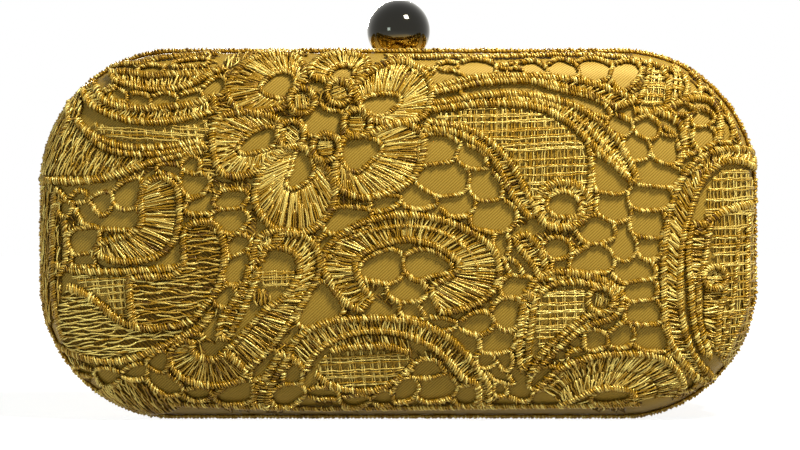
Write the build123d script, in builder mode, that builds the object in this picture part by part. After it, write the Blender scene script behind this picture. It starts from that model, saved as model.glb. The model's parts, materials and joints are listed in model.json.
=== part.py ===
from build123d import *

import math
import os

# Hard evening clutch: two covered shells in a hinged metal frame, closed by a sliding ball clasp.
#
# Units are millimetres. -Y is the front, +Z is up, and the origin is under the middle of the bag,
# on the surface that it stands on. Each half is a moulded shell with satin glued over it, lace
# over the satin, and a lining. Their edges stand in the channel of a frame, and the two frames
# are hinged along the bottom. "Inset" is a distance in from the outline of the lace, and
# "depth" a distance in front of the plane where the two halves part.

os.makedirs("parts", exist_ok=True)

# Driving dimensions of the case
case_width = 190.0
case_height = 98.0
half_depth = 26.0  # at the middle of the crowned face
corner_radius = 36.0
edge_radius = 11.0  # roll round the front face
crown_radius = 100.0  # gentle crown between that roll and the flat middle of the face
crown_end = 2.0  # where the crown meets the flat, measured out from the corner's centre
shoulder_radius = 6.0  # roll down to the frame
shoulder_depth = 3.3
middle = case_height / 2
corner_x = case_width / 2 - corner_radius
corner_z = case_height - corner_radius

# Layers, from the outside in
glue = 0.05
lace_thickness = 1.0
satin_thickness = 0.35
shell_wall = 1.4
lining_thickness = 0.5
satin_inset = lace_thickness + glue
shell_inset = satin_inset + satin_thickness + glue
lining_inset = shell_inset + shell_wall + glue

# Frame: a channel bent from strip, open away from the parting plane
frame_inset = 3.5
frame_width = 4.5
frame_sheet = 0.7
frame_near = 0.15
frame_far = 3.5
frame_bend = 0.5
frame_inner = frame_inset + frame_width
web_far = frame_near + frame_sheet
frame_top = case_height - frame_inset
frame_under = case_height - frame_inner

# Edges of the layers where they stand in the channel: outer inset, inner inset, depth
lace_edge = frame_inset + frame_sheet
satin_edge = (4.3, 4.7, 1.0)
shell_edge = (4.8, 6.2, web_far)
lining_edge = (6.3, 6.8, 1.2)

edge_grip = 0.8  # share of a layer's thickness that its turned-in edge runs back into

# Openings through the lace, seen from in front of each half: across, up, half length, half
# height and turn in degrees. The smaller ones, and the cords round them, are surface work.
lace_openings = (
    # in and between the flower's petals
    (-20.0, 77.9, 5.3, 2.6, 0),
    (-31.8, 87.9, 3.4, 2.4, 0),
    (-36.7, 73.1, 4.1, 2.1, 25),
    (-25.4, 66.3, 4.8, 1.9, 70),
    (-9.5, 70.0, 4.4, 3.2, 10),
    # left of the middle
    (-13.7, 52.8, 5.6, 2.2, 0),
    (-43.5, 52.7, 4.0, 2.0, 0),
    (-41.8, 40.0, 3.1, 2.4, 0),
    (-20.8, 29.8, 5.2, 3.4, 35),
    (-70.8, 59.7, 2.9, 2.7, 0),
    # right of the flower
    (10.8, 71.1, 4.9, 3.0, 0),
    (19.3, 69.8, 3.8, 2.1, -35),
    (11.2, 63.3, 6.0, 3.4, 0),
    (22.8, 61.9, 3.6, 3.2, 0),
    (5.4, 58.6, 3.9, 2.1, 0),
    (24.9, 53.7, 5.1, 2.7, 0),
    (42.9, 56.9, 3.6, 2.4, 0),
    # between the long leaf and the right edge
    (54.9, 64.6, 4.8, 2.8, -45),
    (64.6, 76.7, 2.7, 2.1, 0),
    (61.9, 71.5, 2.7, 2.4, 0),
    (69.4, 70.9, 2.6, 2.8, 0),
    (67.3, 64.7, 5.3, 2.2, 0),
    (65.8, 58.4, 4.8, 2.1, 0),
    (55.6, 55.7, 3.4, 2.7, 0),
    (65.0, 51.3, 3.8, 2.4, 0),
    (51.2, 50.3, 4.0, 2.3, 0),
    # lower right
    (49.4, 42.5, 4.5, 2.2, 10),
    (58.7, 45.7, 2.4, 2.5, 0),
    (57.9, 22.2, 2.5, 2.2, 20),
    (66.0, 21.5, 3.6, 2.1, 0),
    # inside and under the arches
    (7.1, 41.2, 5.1, 2.5, 0),
    (-4.5, 40.7, 4.4, 2.7, 5),
    (29.1, 28.2, 3.4, 2.5, 0),
)

# Outlines of the thinner panels of loose net, across and up
net_thickness = 0.55
lace_nets = (
    ((10, 81), (22, 82), (34, 81), (45, 75), (49, 70), (49, 62), (37, 60.5), (30, 68.5), (21, 76)),
    ((-20, 15), (-10, 18.5), (2, 17), (-3, 10), (-9, 8.8), (-19, 11.5)),
    ((36, 21), (37, 33), (47, 35), (49, 29), (43, 23)),
)

# Hinges along the bottom
hinge_x = 45.0
hinge_z = 1.9
knuckle_radius = 1.5
knuckle_count = 5
knuckle_length = 4.8
knuckle_gap = 0.2
pin_radius = 0.7
pin_clearance = 0.05
leaf_thickness = 0.55
leaf_near = 1.35
leaf_far = 3.4
leaf_bottom = frame_inset - leaf_thickness
leaf_rivet_x = 8.0
leaf_rivet_y = 2.4
knuckle_pitch = knuckle_length + knuckle_gap
hinge_length = knuckle_count * knuckle_pitch - knuckle_gap
pin_end = 0.3  # that the pin stands out at each end
pin_chamfer = 0.2

# Rivets
rivet_clearance = 0.02
leaf_rivet_radius = 0.6
leaf_rivet_head = 0.9
small_rivet_radius = 0.8
small_rivet_head = 1.3
small_rivet_tail = 1.1
head_height = 0.5
head_chamfer = 0.3
tail_height = 0.35

# Clasp: a plate under the rear frame, a slide under the plate, and the ball on the slide's stem
slide_travel = 5.0
slide_gap = 0.6
plate_thickness = 0.8
plate_bottom = frame_under - plate_thickness
plate_half_width = 17.0
plate_near = 0.5
plate_far = 9.6
plate_corner = 2.5
plate_rivet_x = 14.0
clasp_rivet_y = 2.3
slide_thickness = 1.0
slide_top = plate_bottom - slide_gap
slide_bottom = slide_top - slide_thickness
slide_left = -16.0
slide_right = 11.0
slide_far = 7.0
slide_corner = 1.5
stem_boss_radius = 2.9  # of the slide round the stem
guide_x = 8.0
guide_y = 5.0
guide_radius = 0.9
guide_play = 0.1
guide_shoulder_radius = 1.4
guide_head_radius = 1.8
finger_half_width = 2.5
finger_end = -8.0
finger_root = 1.0  # that the finger runs back into the slide
hook_start = -5.2
hook_reach = 2.5
stem_radius = 1.5
stem_play = 0.5
stem_head_radius = 2.3
stem_into_ball = 5.0
collar_gap = 0.3
collar_radius = 3.4
collar_thickness = 1.0
collar_round = 0.3
collar_bottom = frame_top + collar_gap
ball_seat = collar_bottom + collar_thickness
ball_radius = 8.5
ball_seat_radius = 2.5
ball_centre = ball_seat + math.sqrt(ball_radius**2 - ball_seat_radius**2)
ball_bore_depth = stem_into_ball + 0.2

# Keeper on the front frame that the finger's hook goes behind
keeper_left = -10.5
keeper_right = 13.0
keeper_near = -0.5
keeper_face = -3.8
keeper_back = -4.6
keeper_bottom = 84.5
keeper_corner = 2.0
keeper_rivet_x = (-8.0, 10.5)
window_play = 0.4
window_height_play = 0.5

# Spring between a tab of the slide and a tab of the plate
tab_thickness = 0.8
tab_bottom = 84.6
slide_tab_x = -6.8
plate_tab_x = 9.4
tab_near = 7.4
slide_tab_width = 2.4
slide_tab_play = 0.2
spring_y = 8.5
spring_z = 86.1
spring_radius = 1.0
wire_radius = 0.2
wire_sides = 6
spring_turns = 7

# Lugs inside the rear frame that a drop-in chain hooks into
lug_z = 55.0
lug_near = 1.2
lug_thickness = 1.2
lug_foot = 0.8
lug_foot_length = 12.0
lug_eye_reach = 4.5
lug_eye_radius = 1.6
lug_eye_rim = 2.9
lug_rivet_z = 4.6
lug_rivet_y = 2.2
lug_foot_near = 0.5
lug_foot_far = 3.4


def save(part, name):
    """Name a finished piece and write it as its own STEP file."""
    part.label = name
    export_step(part, f"parts/{name}.step")


def outline(inset):
    """Rounded rectangle of the case, moved in by inset."""
    width = case_width - 2 * inset
    height = case_height - 2 * inset
    with BuildSketch() as face:
        with Locations((0, middle)):
            RectangleRounded(width, height, corner_radius - inset)
    return face.sketch


def band(outer, inner, near, far):
    """Ring between two insets of the outline and two depths."""
    with BuildPart() as ring:
        with BuildSketch(Plane.XZ.offset(near)):
            add(outline(outer))
            add(outline(inner), mode=Mode.SUBTRACT)
        extrude(amount=far - near)
    return ring.part


def rim_profile(inset):
    """Section from a corner's centre outwards: across is the radius, up is the depth."""
    crown_centre = half_depth - crown_radius
    roll_across = corner_radius - edge_radius - crown_end
    roll_up = math.sqrt((crown_radius - edge_radius) ** 2 - roll_across**2)
    tangent = math.degrees(math.atan2(roll_up, roll_across))
    shoulder_centre = shoulder_depth + shoulder_radius
    near = shoulder_depth + inset
    far = half_depth - inset
    with BuildSketch() as face:
        with BuildLine():
            Polyline((crown_end, far), (0, far), (0, near), (corner_radius - shoulder_radius, near))
            CenterArc(
                (corner_radius - shoulder_radius, shoulder_centre), shoulder_radius - inset, -90, 90
            )
            Line(
                (corner_radius - inset, shoulder_centre),
                (corner_radius - inset, crown_centre + roll_up),
            )
            CenterArc(
                (corner_radius - edge_radius, crown_centre + roll_up), edge_radius - inset, 0, tangent
            )
            CenterArc((crown_end, crown_centre), crown_radius - inset, tangent, 90 - tangent)
        make_face()
    return face.sketch


def pillow(inset):
    """Closed body of one half, with every outer face moved in by inset."""
    near = shoulder_depth + inset
    corner = (corner_x, 0, corner_z)
    with BuildPart() as body:
        # One quarter: the corner is turned, its two sides are extruded, and the middle is flat.
        with BuildSketch(Plane(origin=corner, x_dir=(1, 0, 0), z_dir=(0, 0, -1))):
            add(rim_profile(inset))
        revolve(axis=Axis(corner, (0, -1, 0)), revolution_arc=90)
        with BuildSketch(Plane(origin=corner, x_dir=(1, 0, 0), z_dir=(0, 0, -1))):
            add(rim_profile(inset))
        extrude(amount=corner_z - middle)
        with BuildSketch(Plane(origin=corner, x_dir=(0, 0, 1), z_dir=(1, 0, 0))):
            add(rim_profile(inset))
        extrude(amount=-corner_x)
        with BuildSketch(Plane.XZ.offset(near)):
            with Locations((0, middle)):
                Rectangle(corner_x, corner_z - middle, align=Align.MIN)
        extrude(amount=half_depth - inset - near)
        mirror(about=Plane.YZ)
        mirror(about=Plane.XY.offset(middle))
    return body.part


def layer(inset, thickness, mouth):
    """Skin of one half, open towards the parting plane inside the mouth."""
    with BuildPart() as skin:
        add(pillow(inset))
        add(pillow(inset + thickness), mode=Mode.SUBTRACT)
        with BuildSketch(Plane.XZ):
            add(outline(mouth))
        extrude(amount=shoulder_depth + shoulder_radius, mode=Mode.SUBTRACT)
    return skin.part


def lined_edge(inset, thickness, edge):
    """Skin of one half with its edge turned in to stand in the channel."""
    outer, inner, depth = edge
    with BuildPart() as skin:
        add(layer(inset, thickness, inner))
        add(band(outer, inner, depth, shoulder_depth + inset + edge_grip * thickness))
        add(stem_slot(), mode=Mode.SUBTRACT)
    return skin.part


def stem_slot():
    """Room for the stem through the top of the frames, over the slide's travel."""
    reach = stem_radius + stem_play
    with BuildPart() as slot:
        with BuildSketch(Plane.XY.offset(plate_bottom)):
            with Locations((slide_travel / 2, 0)):
                SlotCenterToCenter(slide_travel, 2 * reach)
        extrude(amount=case_height - plate_bottom)
    return slot.part


def rivet(radius, grip, head_radius, tail_radius=0.0):
    """Rivet that points up, with the seat of its round head at the origin."""
    low = (Align.CENTER, Align.CENTER, Align.MAX)
    high = (Align.CENTER, Align.CENTER, Align.MIN)
    with BuildPart() as pin:
        Cylinder(head_radius, head_height, align=low)
        chamfer(pin.edges().sort_by(Axis.Z)[0], head_chamfer)
        Cylinder(radius, grip, align=high)
        if tail_radius:
            with Locations((0, 0, grip)):
                Cylinder(tail_radius, tail_height, align=high)
    return pin.part


# ---- The two halves: lace, satin, shell and lining ----

with BuildPart() as net_recess:
    with BuildSketch(Plane.XZ.offset(shoulder_depth + shoulder_radius)):
        for net in lace_nets:
            with BuildLine():
                Spline(*net, periodic=True)
            make_face()
    extrude(amount=half_depth)
    add(pillow(lace_thickness - net_thickness), mode=Mode.SUBTRACT)

with BuildPart() as front_lace_overlay:
    add(layer(0, lace_thickness, lace_edge))
    with BuildSketch(Plane.XZ.offset(shoulder_depth + shoulder_radius)):
        for across, up, half_length, half_height, turn in lace_openings:
            with Locations((across, up)):
                Ellipse(half_length, half_height, rotation=turn)
    extrude(amount=half_depth, mode=Mode.SUBTRACT)
    add(net_recess.part, mode=Mode.SUBTRACT)

# The lace reads the same way on both halves, so the rear one is turned round.
with BuildPart() as rear_lace_overlay:
    add(front_lace_overlay.part, rotation=(0, 0, 180))
save(front_lace_overlay.part, "front_lace_overlay")
save(rear_lace_overlay.part, "rear_lace_overlay")

with BuildPart() as front_satin_cover:
    add(lined_edge(satin_inset, satin_thickness, satin_edge))

with BuildPart() as front_shell:
    add(lined_edge(shell_inset, shell_wall, shell_edge))

with BuildPart() as front_lining:
    add(lined_edge(lining_inset, lining_thickness, lining_edge))

for layer_name, front_piece in (
    ("satin_cover", front_satin_cover),
    ("shell", front_shell),
    ("lining", front_lining),
):
    with BuildPart() as rear_piece:
        mirror(front_piece.part, about=Plane.XZ)
    save(front_piece.part, f"front_{layer_name}")
    save(rear_piece.part, f"rear_{layer_name}")

# ---- Frames ----

with BuildPart() as channel:
    add(band(frame_inset, frame_inner, frame_near, frame_far))
    fillet(channel.faces().sort_by(Axis.Y)[-1].edges(), frame_bend)
    add(band(lace_edge, frame_inner - frame_sheet, web_far, frame_far), mode=Mode.SUBTRACT)
    add(stem_slot(), mode=Mode.SUBTRACT)
    with BuildSketch(Plane.XY.offset(frame_inset)):
        for side in (-1, 1):
            for end in (-1, 1):
                with Locations((side * hinge_x + end * leaf_rivet_x, -leaf_rivet_y)):
                    Circle(leaf_rivet_radius + rivet_clearance)
    extrude(amount=frame_sheet, mode=Mode.SUBTRACT)

with BuildPart() as front_frame:
    add(channel.part)
    with BuildSketch(Plane.XY.offset(frame_under)):
        with Locations(*[(x, -clasp_rivet_y) for x in keeper_rivet_x]):
            Circle(small_rivet_radius + rivet_clearance)
    extrude(amount=frame_sheet, mode=Mode.SUBTRACT)
save(front_frame.part, "front_frame")

with BuildPart() as rear_frame:
    mirror(channel.part, about=Plane.XZ)
    with BuildSketch(Plane.XY.offset(frame_under)):
        with Locations((-plate_rivet_x, clasp_rivet_y), (plate_rivet_x, clasp_rivet_y)):
            Circle(small_rivet_radius + rivet_clearance)
    extrude(amount=frame_sheet, mode=Mode.SUBTRACT)
    with BuildSketch(Plane.YZ.offset(-case_width / 2 + frame_inner - frame_sheet)):
        with Locations((lug_rivet_y, lug_z - lug_rivet_z), (lug_rivet_y, lug_z + lug_rivet_z)):
            Circle(small_rivet_radius + rivet_clearance)
    extrude(amount=case_width - 2 * (frame_inner - frame_sheet), mode=Mode.SUBTRACT)
save(rear_frame.part, "rear_frame")

# ---- Hinges ----


def hinge_leaf(side, own_knuckles, hinge_centre):
    """Leaf under one frame: side is -1 for the front one and 1 for the rear one."""
    with BuildPart() as leaf:
        with BuildSketch(Plane.XY.offset(leaf_bottom)):
            with Locations((hinge_centre, side * (leaf_near + leaf_far) / 2)):
                Rectangle(hinge_length, leaf_far - leaf_near)
            with Locations(
                (hinge_centre - leaf_rivet_x, side * leaf_rivet_y),
                (hinge_centre + leaf_rivet_x, side * leaf_rivet_y),
            ):
                Circle(leaf_rivet_radius + rivet_clearance, mode=Mode.SUBTRACT)
        extrude(amount=leaf_thickness)
        for knuckle in own_knuckles:
            start = hinge_centre - hinge_length / 2 + knuckle * knuckle_pitch
            with BuildSketch(Plane.YZ.offset(start)):
                with Locations((side * leaf_near / 2, leaf_bottom + leaf_thickness / 2)):
                    Rectangle(leaf_near, leaf_thickness)
                with Locations((0, hinge_z)):
                    Circle(knuckle_radius)
                    Circle(pin_radius + pin_clearance, mode=Mode.SUBTRACT)
            extrude(amount=knuckle_length)
    return leaf.part


for hinge_name, hinge_centre in (("left", -hinge_x), ("right", hinge_x)):
    save(hinge_leaf(1, (0, 2, 4), hinge_centre), f"{hinge_name}_hinge_rear_leaf")
    save(hinge_leaf(-1, (1, 3), hinge_centre), f"{hinge_name}_hinge_front_leaf")
    with BuildPart() as hinge_pin:
        with BuildSketch(Plane.YZ.offset(hinge_centre - hinge_length / 2 - pin_end)):
            with Locations((0, hinge_z)):
                Circle(pin_radius)
        extrude(amount=hinge_length + 2 * pin_end)
        chamfer(hinge_pin.edges().filter_by(GeomType.CIRCLE), pin_chamfer)
    save(hinge_pin.part, f"{hinge_name}_hinge_pin")

for side_name, side in (("front", -1), ("rear", 1)):
    with BuildPart() as leaf_rivets:
        for hinge_centre in (-hinge_x, hinge_x):
            for end in (-1, 1):
                with Locations((hinge_centre + end * leaf_rivet_x, side * leaf_rivet_y, leaf_bottom)):
                    add(rivet(leaf_rivet_radius, leaf_thickness + frame_sheet, leaf_rivet_head))
    save(leaf_rivets.part, f"{side_name}_hinge_rivets")

# ---- Clasp: plate, slide, stem, collar, ball and spring ----

with BuildPart() as clasp_plate:
    with BuildSketch(Plane.XY.offset(plate_bottom)):
        with Locations((0, (plate_near + plate_far) / 2)):
            RectangleRounded(2 * plate_half_width, plate_far - plate_near, plate_corner)
        with Locations((slide_travel / 2, 0)):
            SlotCenterToCenter(slide_travel, 2 * (stem_radius + stem_play), mode=Mode.SUBTRACT)
        with Locations((-plate_rivet_x, clasp_rivet_y), (plate_rivet_x, clasp_rivet_y)):
            Circle(small_rivet_radius + rivet_clearance, mode=Mode.SUBTRACT)
        with Locations((-guide_x, guide_y), (guide_x, guide_y)):
            Circle(guide_radius + rivet_clearance, mode=Mode.SUBTRACT)
    extrude(amount=plate_thickness)
    with BuildSketch(Plane.YZ.offset(plate_tab_x)):
        with Locations(((tab_near + plate_far) / 2, (tab_bottom + plate_bottom) / 2)):
            Rectangle(plate_far - tab_near, plate_bottom - tab_bottom)
    extrude(amount=tab_thickness)
save(clasp_plate.part, "clasp_plate")

with BuildPart() as clasp_slider:
    with BuildSketch(Plane.XY.offset(slide_bottom)):
        with Locations(((slide_left + slide_right) / 2, (plate_near + slide_far) / 2)):
            RectangleRounded(slide_right - slide_left, slide_far - plate_near, slide_corner)
        with Locations((0, finger_end)):
            Rectangle(
                2 * finger_half_width,
                plate_near - finger_end + finger_root,
                align=(Align.CENTER, Align.MIN),
            )
        Circle(stem_boss_radius)
        with Locations((-finger_half_width, hook_start)):
            Rectangle(hook_reach, hook_start - finger_end, align=Align.MAX)
        with Locations((slide_tab_x, plate_far - slide_tab_play)):
            Rectangle(slide_tab_width, plate_far - slide_far, align=(Align.CENTER, Align.MAX))
        Circle(stem_radius + rivet_clearance, mode=Mode.SUBTRACT)
        with Locations(
            (-guide_x - slide_travel / 2, guide_y), (guide_x - slide_travel / 2, guide_y)
        ):
            SlotCenterToCenter(slide_travel, 2 * (guide_radius + guide_play), mode=Mode.SUBTRACT)
    extrude(amount=slide_thickness)
    with BuildSketch(Plane.YZ.offset(slide_tab_x - tab_thickness)):
        with Locations((plate_far - slide_tab_play, slide_bottom)):
            Rectangle(plate_far - slide_tab_play - tab_near, slide_bottom - tab_bottom, align=Align.MAX)
    extrude(amount=tab_thickness)
save(clasp_slider.part, "clasp_slider")

with BuildPart() as clasp_stem:
    with Locations((0, 0, slide_bottom)):
        add(rivet(stem_radius, ball_seat + stem_into_ball - slide_bottom, stem_head_radius))
save(clasp_stem.part, "clasp_stem")

with BuildPart() as knob_collar:
    with BuildSketch(Plane.XY.offset(collar_bottom)):
        Circle(collar_radius)
    extrude(amount=collar_thickness)
    fillet(knob_collar.edges().filter_by(GeomType.CIRCLE), collar_round)
    with BuildSketch(Plane.XY.offset(collar_bottom)):
        Circle(stem_radius + rivet_clearance)
    extrude(amount=collar_thickness, mode=Mode.SUBTRACT)
save(knob_collar.part, "knob_collar")

with BuildPart() as ball_knob:
    with BuildSketch(Plane.XZ):
        with Locations((0, ball_centre)):
            Circle(ball_radius)
        with Locations((0, ball_seat)):
            Rectangle(3 * ball_radius, 2 * ball_radius, align=(Align.CENTER, Align.MAX), mode=Mode.SUBTRACT)
            Rectangle(
                2 * (stem_radius + rivet_clearance),
                ball_bore_depth,
                align=(Align.CENTER, Align.MIN),
                mode=Mode.SUBTRACT,
            )
        with Locations((0, ball_centre)):
            Rectangle(ball_radius, 2 * ball_radius, align=(Align.MIN, Align.CENTER), mode=Mode.INTERSECT)
    revolve(axis=Axis.Z)
save(ball_knob.part, "ball_knob")

spring_start = slide_tab_x + wire_radius
spring_length = plate_tab_x - slide_tab_x - 2 * wire_radius
with BuildPart() as clasp_spring:
    with BuildLine() as coil:
        Helix(
            pitch=spring_length / spring_turns,
            height=spring_length,
            radius=spring_radius,
            center=(spring_start, spring_y, spring_z),
            direction=(1, 0, 0),
        )
    with BuildSketch(Plane(origin=coil.line @ 0, z_dir=coil.line % 0)):
        RegularPolygon(wire_radius, wire_sides)
    sweep(path=coil.line, is_frenet=True)
save(clasp_spring.part, "clasp_spring")

with BuildPart() as guide_rivets:
    for x in (-guide_x, guide_x):
        with Locations((x, guide_y, slide_bottom)):
            add(rivet(guide_radius, frame_under - slide_bottom, guide_head_radius))
        with BuildSketch(Plane.XY.offset(slide_top + guide_play)):
            with Locations((x, guide_y)):
                Circle(guide_shoulder_radius)
        extrude(amount=slide_gap - guide_play)
save(guide_rivets.part, "guide_rivets")

with BuildPart() as clasp_plate_rivets:
    for x in (-plate_rivet_x, plate_rivet_x):
        with Locations((x, clasp_rivet_y, plate_bottom)):
            add(rivet(small_rivet_radius, plate_thickness + frame_sheet, small_rivet_head, small_rivet_tail))
save(clasp_plate_rivets.part, "clasp_plate_rivets")

# ---- Keeper on the front frame ----

with BuildPart() as keeper:
    keeper_middle = (keeper_left + keeper_right) / 2
    keeper_width = keeper_right - keeper_left
    with BuildSketch(Plane.XY.offset(plate_bottom)):
        with Locations((keeper_middle, (keeper_near + keeper_back) / 2)):
            Rectangle(keeper_width, keeper_near - keeper_back)
        with Locations((slide_travel / 2, 0)):
            SlotCenterToCenter(slide_travel, 2 * (stem_radius + stem_play), mode=Mode.SUBTRACT)
        with Locations(*[(x, -clasp_rivet_y) for x in keeper_rivet_x]):
            Circle(small_rivet_radius + rivet_clearance, mode=Mode.SUBTRACT)
    extrude(amount=plate_thickness)
    with BuildSketch(Plane.XZ.offset(-keeper_face)):
        with Locations((keeper_middle, (keeper_bottom + frame_under) / 2)):
            Rectangle(keeper_width, frame_under - keeper_bottom)
        with Locations((slide_travel / 2, (slide_top + slide_bottom) / 2)):
            Rectangle(
                slide_travel + 2 * (finger_half_width + window_play),
                slide_thickness + 2 * window_height_play,
                mode=Mode.SUBTRACT,
            )
    extrude(amount=keeper_face - keeper_back)
    bottom_corners = keeper.edges().filter_by(Axis.Y).group_by(Axis.Z)[0]
    fillet(bottom_corners, keeper_corner)
save(keeper.part, "keeper")

with BuildPart() as keeper_rivets:
    for x in keeper_rivet_x:
        with Locations((x, -clasp_rivet_y, plate_bottom)):
            add(rivet(small_rivet_radius, plate_thickness + frame_sheet, small_rivet_head, small_rivet_tail))
save(keeper_rivets.part, "keeper_rivets")

# ---- Chain lugs ----

lug_wall = case_width / 2 - frame_inner
lug_eye_x = lug_wall - lug_eye_reach
with BuildPart() as right_lug:
    with BuildSketch(Plane.YZ.offset(lug_wall - lug_foot)):
        with Locations(((lug_foot_near + lug_foot_far) / 2, lug_z)):
            Rectangle(lug_foot_far - lug_foot_near, lug_foot_length)
        with Locations((lug_rivet_y, lug_z - lug_rivet_z), (lug_rivet_y, lug_z + lug_rivet_z)):
            Circle(small_rivet_radius + rivet_clearance, mode=Mode.SUBTRACT)
    extrude(amount=lug_foot)
    with BuildSketch(Plane.XZ.offset(-lug_near - lug_thickness)):
        with Locations((lug_eye_x, lug_z)):
            Circle(lug_eye_rim)
            Rectangle(lug_eye_reach, 2 * lug_eye_rim, align=(Align.MIN, Align.CENTER))
            Circle(lug_eye_radius, mode=Mode.SUBTRACT)
    extrude(amount=lug_thickness)

with BuildPart() as left_lug:
    mirror(right_lug.part, about=Plane.YZ)
save(right_lug.part, "chain_lug_right")
save(left_lug.part, "chain_lug_left")

with BuildPart() as lug_rivets:
    for side, turn in ((-1, -90), (1, 90)):
        for end in (-1, 1):
            place = (side * (lug_wall - lug_foot), lug_rivet_y, lug_z + end * lug_rivet_z)
            with Locations(Location(place, (0, turn, 0))):
                add(rivet(small_rivet_radius, lug_foot + frame_sheet, small_rivet_head, small_rivet_tail))
save(lug_rivets.part, "lug_rivets")
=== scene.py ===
"""Dresses a hinged evening clutch: satin under corded lace, a cloth lining and plated metal."""

import json
import math

import bpy
import numpy as np
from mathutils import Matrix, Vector
from mathutils.geometry import delaunay_2d_cdt


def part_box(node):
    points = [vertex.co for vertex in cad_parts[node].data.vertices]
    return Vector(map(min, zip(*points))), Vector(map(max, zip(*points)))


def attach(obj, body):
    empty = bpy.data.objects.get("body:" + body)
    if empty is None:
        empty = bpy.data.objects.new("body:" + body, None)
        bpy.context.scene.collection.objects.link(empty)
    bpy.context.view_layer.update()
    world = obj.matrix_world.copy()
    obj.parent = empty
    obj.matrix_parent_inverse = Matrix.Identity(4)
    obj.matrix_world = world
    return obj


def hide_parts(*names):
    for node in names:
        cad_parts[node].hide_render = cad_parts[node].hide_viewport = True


bl_info = {
    "name": "Lace evening clutch",
    "version": (1, 0, 0),
    "blender": (4, 5, 0),
    "location": "View3D > Sidebar > Clutch",
    "description": "Dresses a hinged clutch in satin, corded lace, lining and plated metal",
    "category": "Object",
}

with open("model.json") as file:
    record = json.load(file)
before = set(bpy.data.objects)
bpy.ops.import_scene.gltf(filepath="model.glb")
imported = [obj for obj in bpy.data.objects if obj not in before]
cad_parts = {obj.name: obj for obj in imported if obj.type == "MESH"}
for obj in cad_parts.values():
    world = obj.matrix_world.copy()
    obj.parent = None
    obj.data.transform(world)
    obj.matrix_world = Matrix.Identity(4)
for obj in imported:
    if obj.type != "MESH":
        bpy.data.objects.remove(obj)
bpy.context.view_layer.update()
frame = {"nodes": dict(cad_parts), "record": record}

# Everything below is worked out in millimetres and turned to metres as a mesh is made.
MM = 0.001
LOW, HIGH = (np.array(corner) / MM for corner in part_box("front_lace_overlay"))
HALF_WIDTH = HIGH[0]
HALF_HEIGHT = HIGH[2] / 2
DEPTH = -LOW[1]

# Section of the lace's face, from the middle of a corner outwards
CORNER_RADIUS = 36.0
EDGE_RADIUS = 11.0
CROWN_RADIUS = 100.0
CROWN_START = 2.0
SHOULDER_RADIUS = 6.0
SHOULDER_DEPTH = 9.3
CORE = np.array((HALF_WIDTH - CORNER_RADIUS, HALF_HEIGHT - CORNER_RADIUS))
CROWN_TURN = math.asin((CORNER_RADIUS - EDGE_RADIUS - CROWN_START) / (CROWN_RADIUS - EDGE_RADIUS))
CROWN_END = CROWN_START + CROWN_RADIUS * CROWN_TURN
ROLL_END = CROWN_END + EDGE_RADIUS * (math.pi / 2 - CROWN_TURN)
WALL = DEPTH - CROWN_RADIUS + (CROWN_RADIUS - EDGE_RADIUS) * math.cos(CROWN_TURN) - SHOULDER_DEPTH
WALL_END = ROLL_END + WALL
# The lace stops where the shoulder is this far out from its own middle
SHOULDER_STOP = 1.8
LACE_END = WALL_END + SHOULDER_RADIUS * math.acos(SHOULDER_STOP / SHOULDER_RADIUS)
SATIN_INSET = 1.05

# The pattern is drawn as it looks from this far in front of the bag
EYE = np.array((0.4, 51.3 - HALF_HEIGHT))
EYE_DISTANCE = 600.0
DRAWN_DEPTH = 12.0


# ---- The lace's pattern, drawn in millimetres: across from the middle, and up from the table ----

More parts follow.
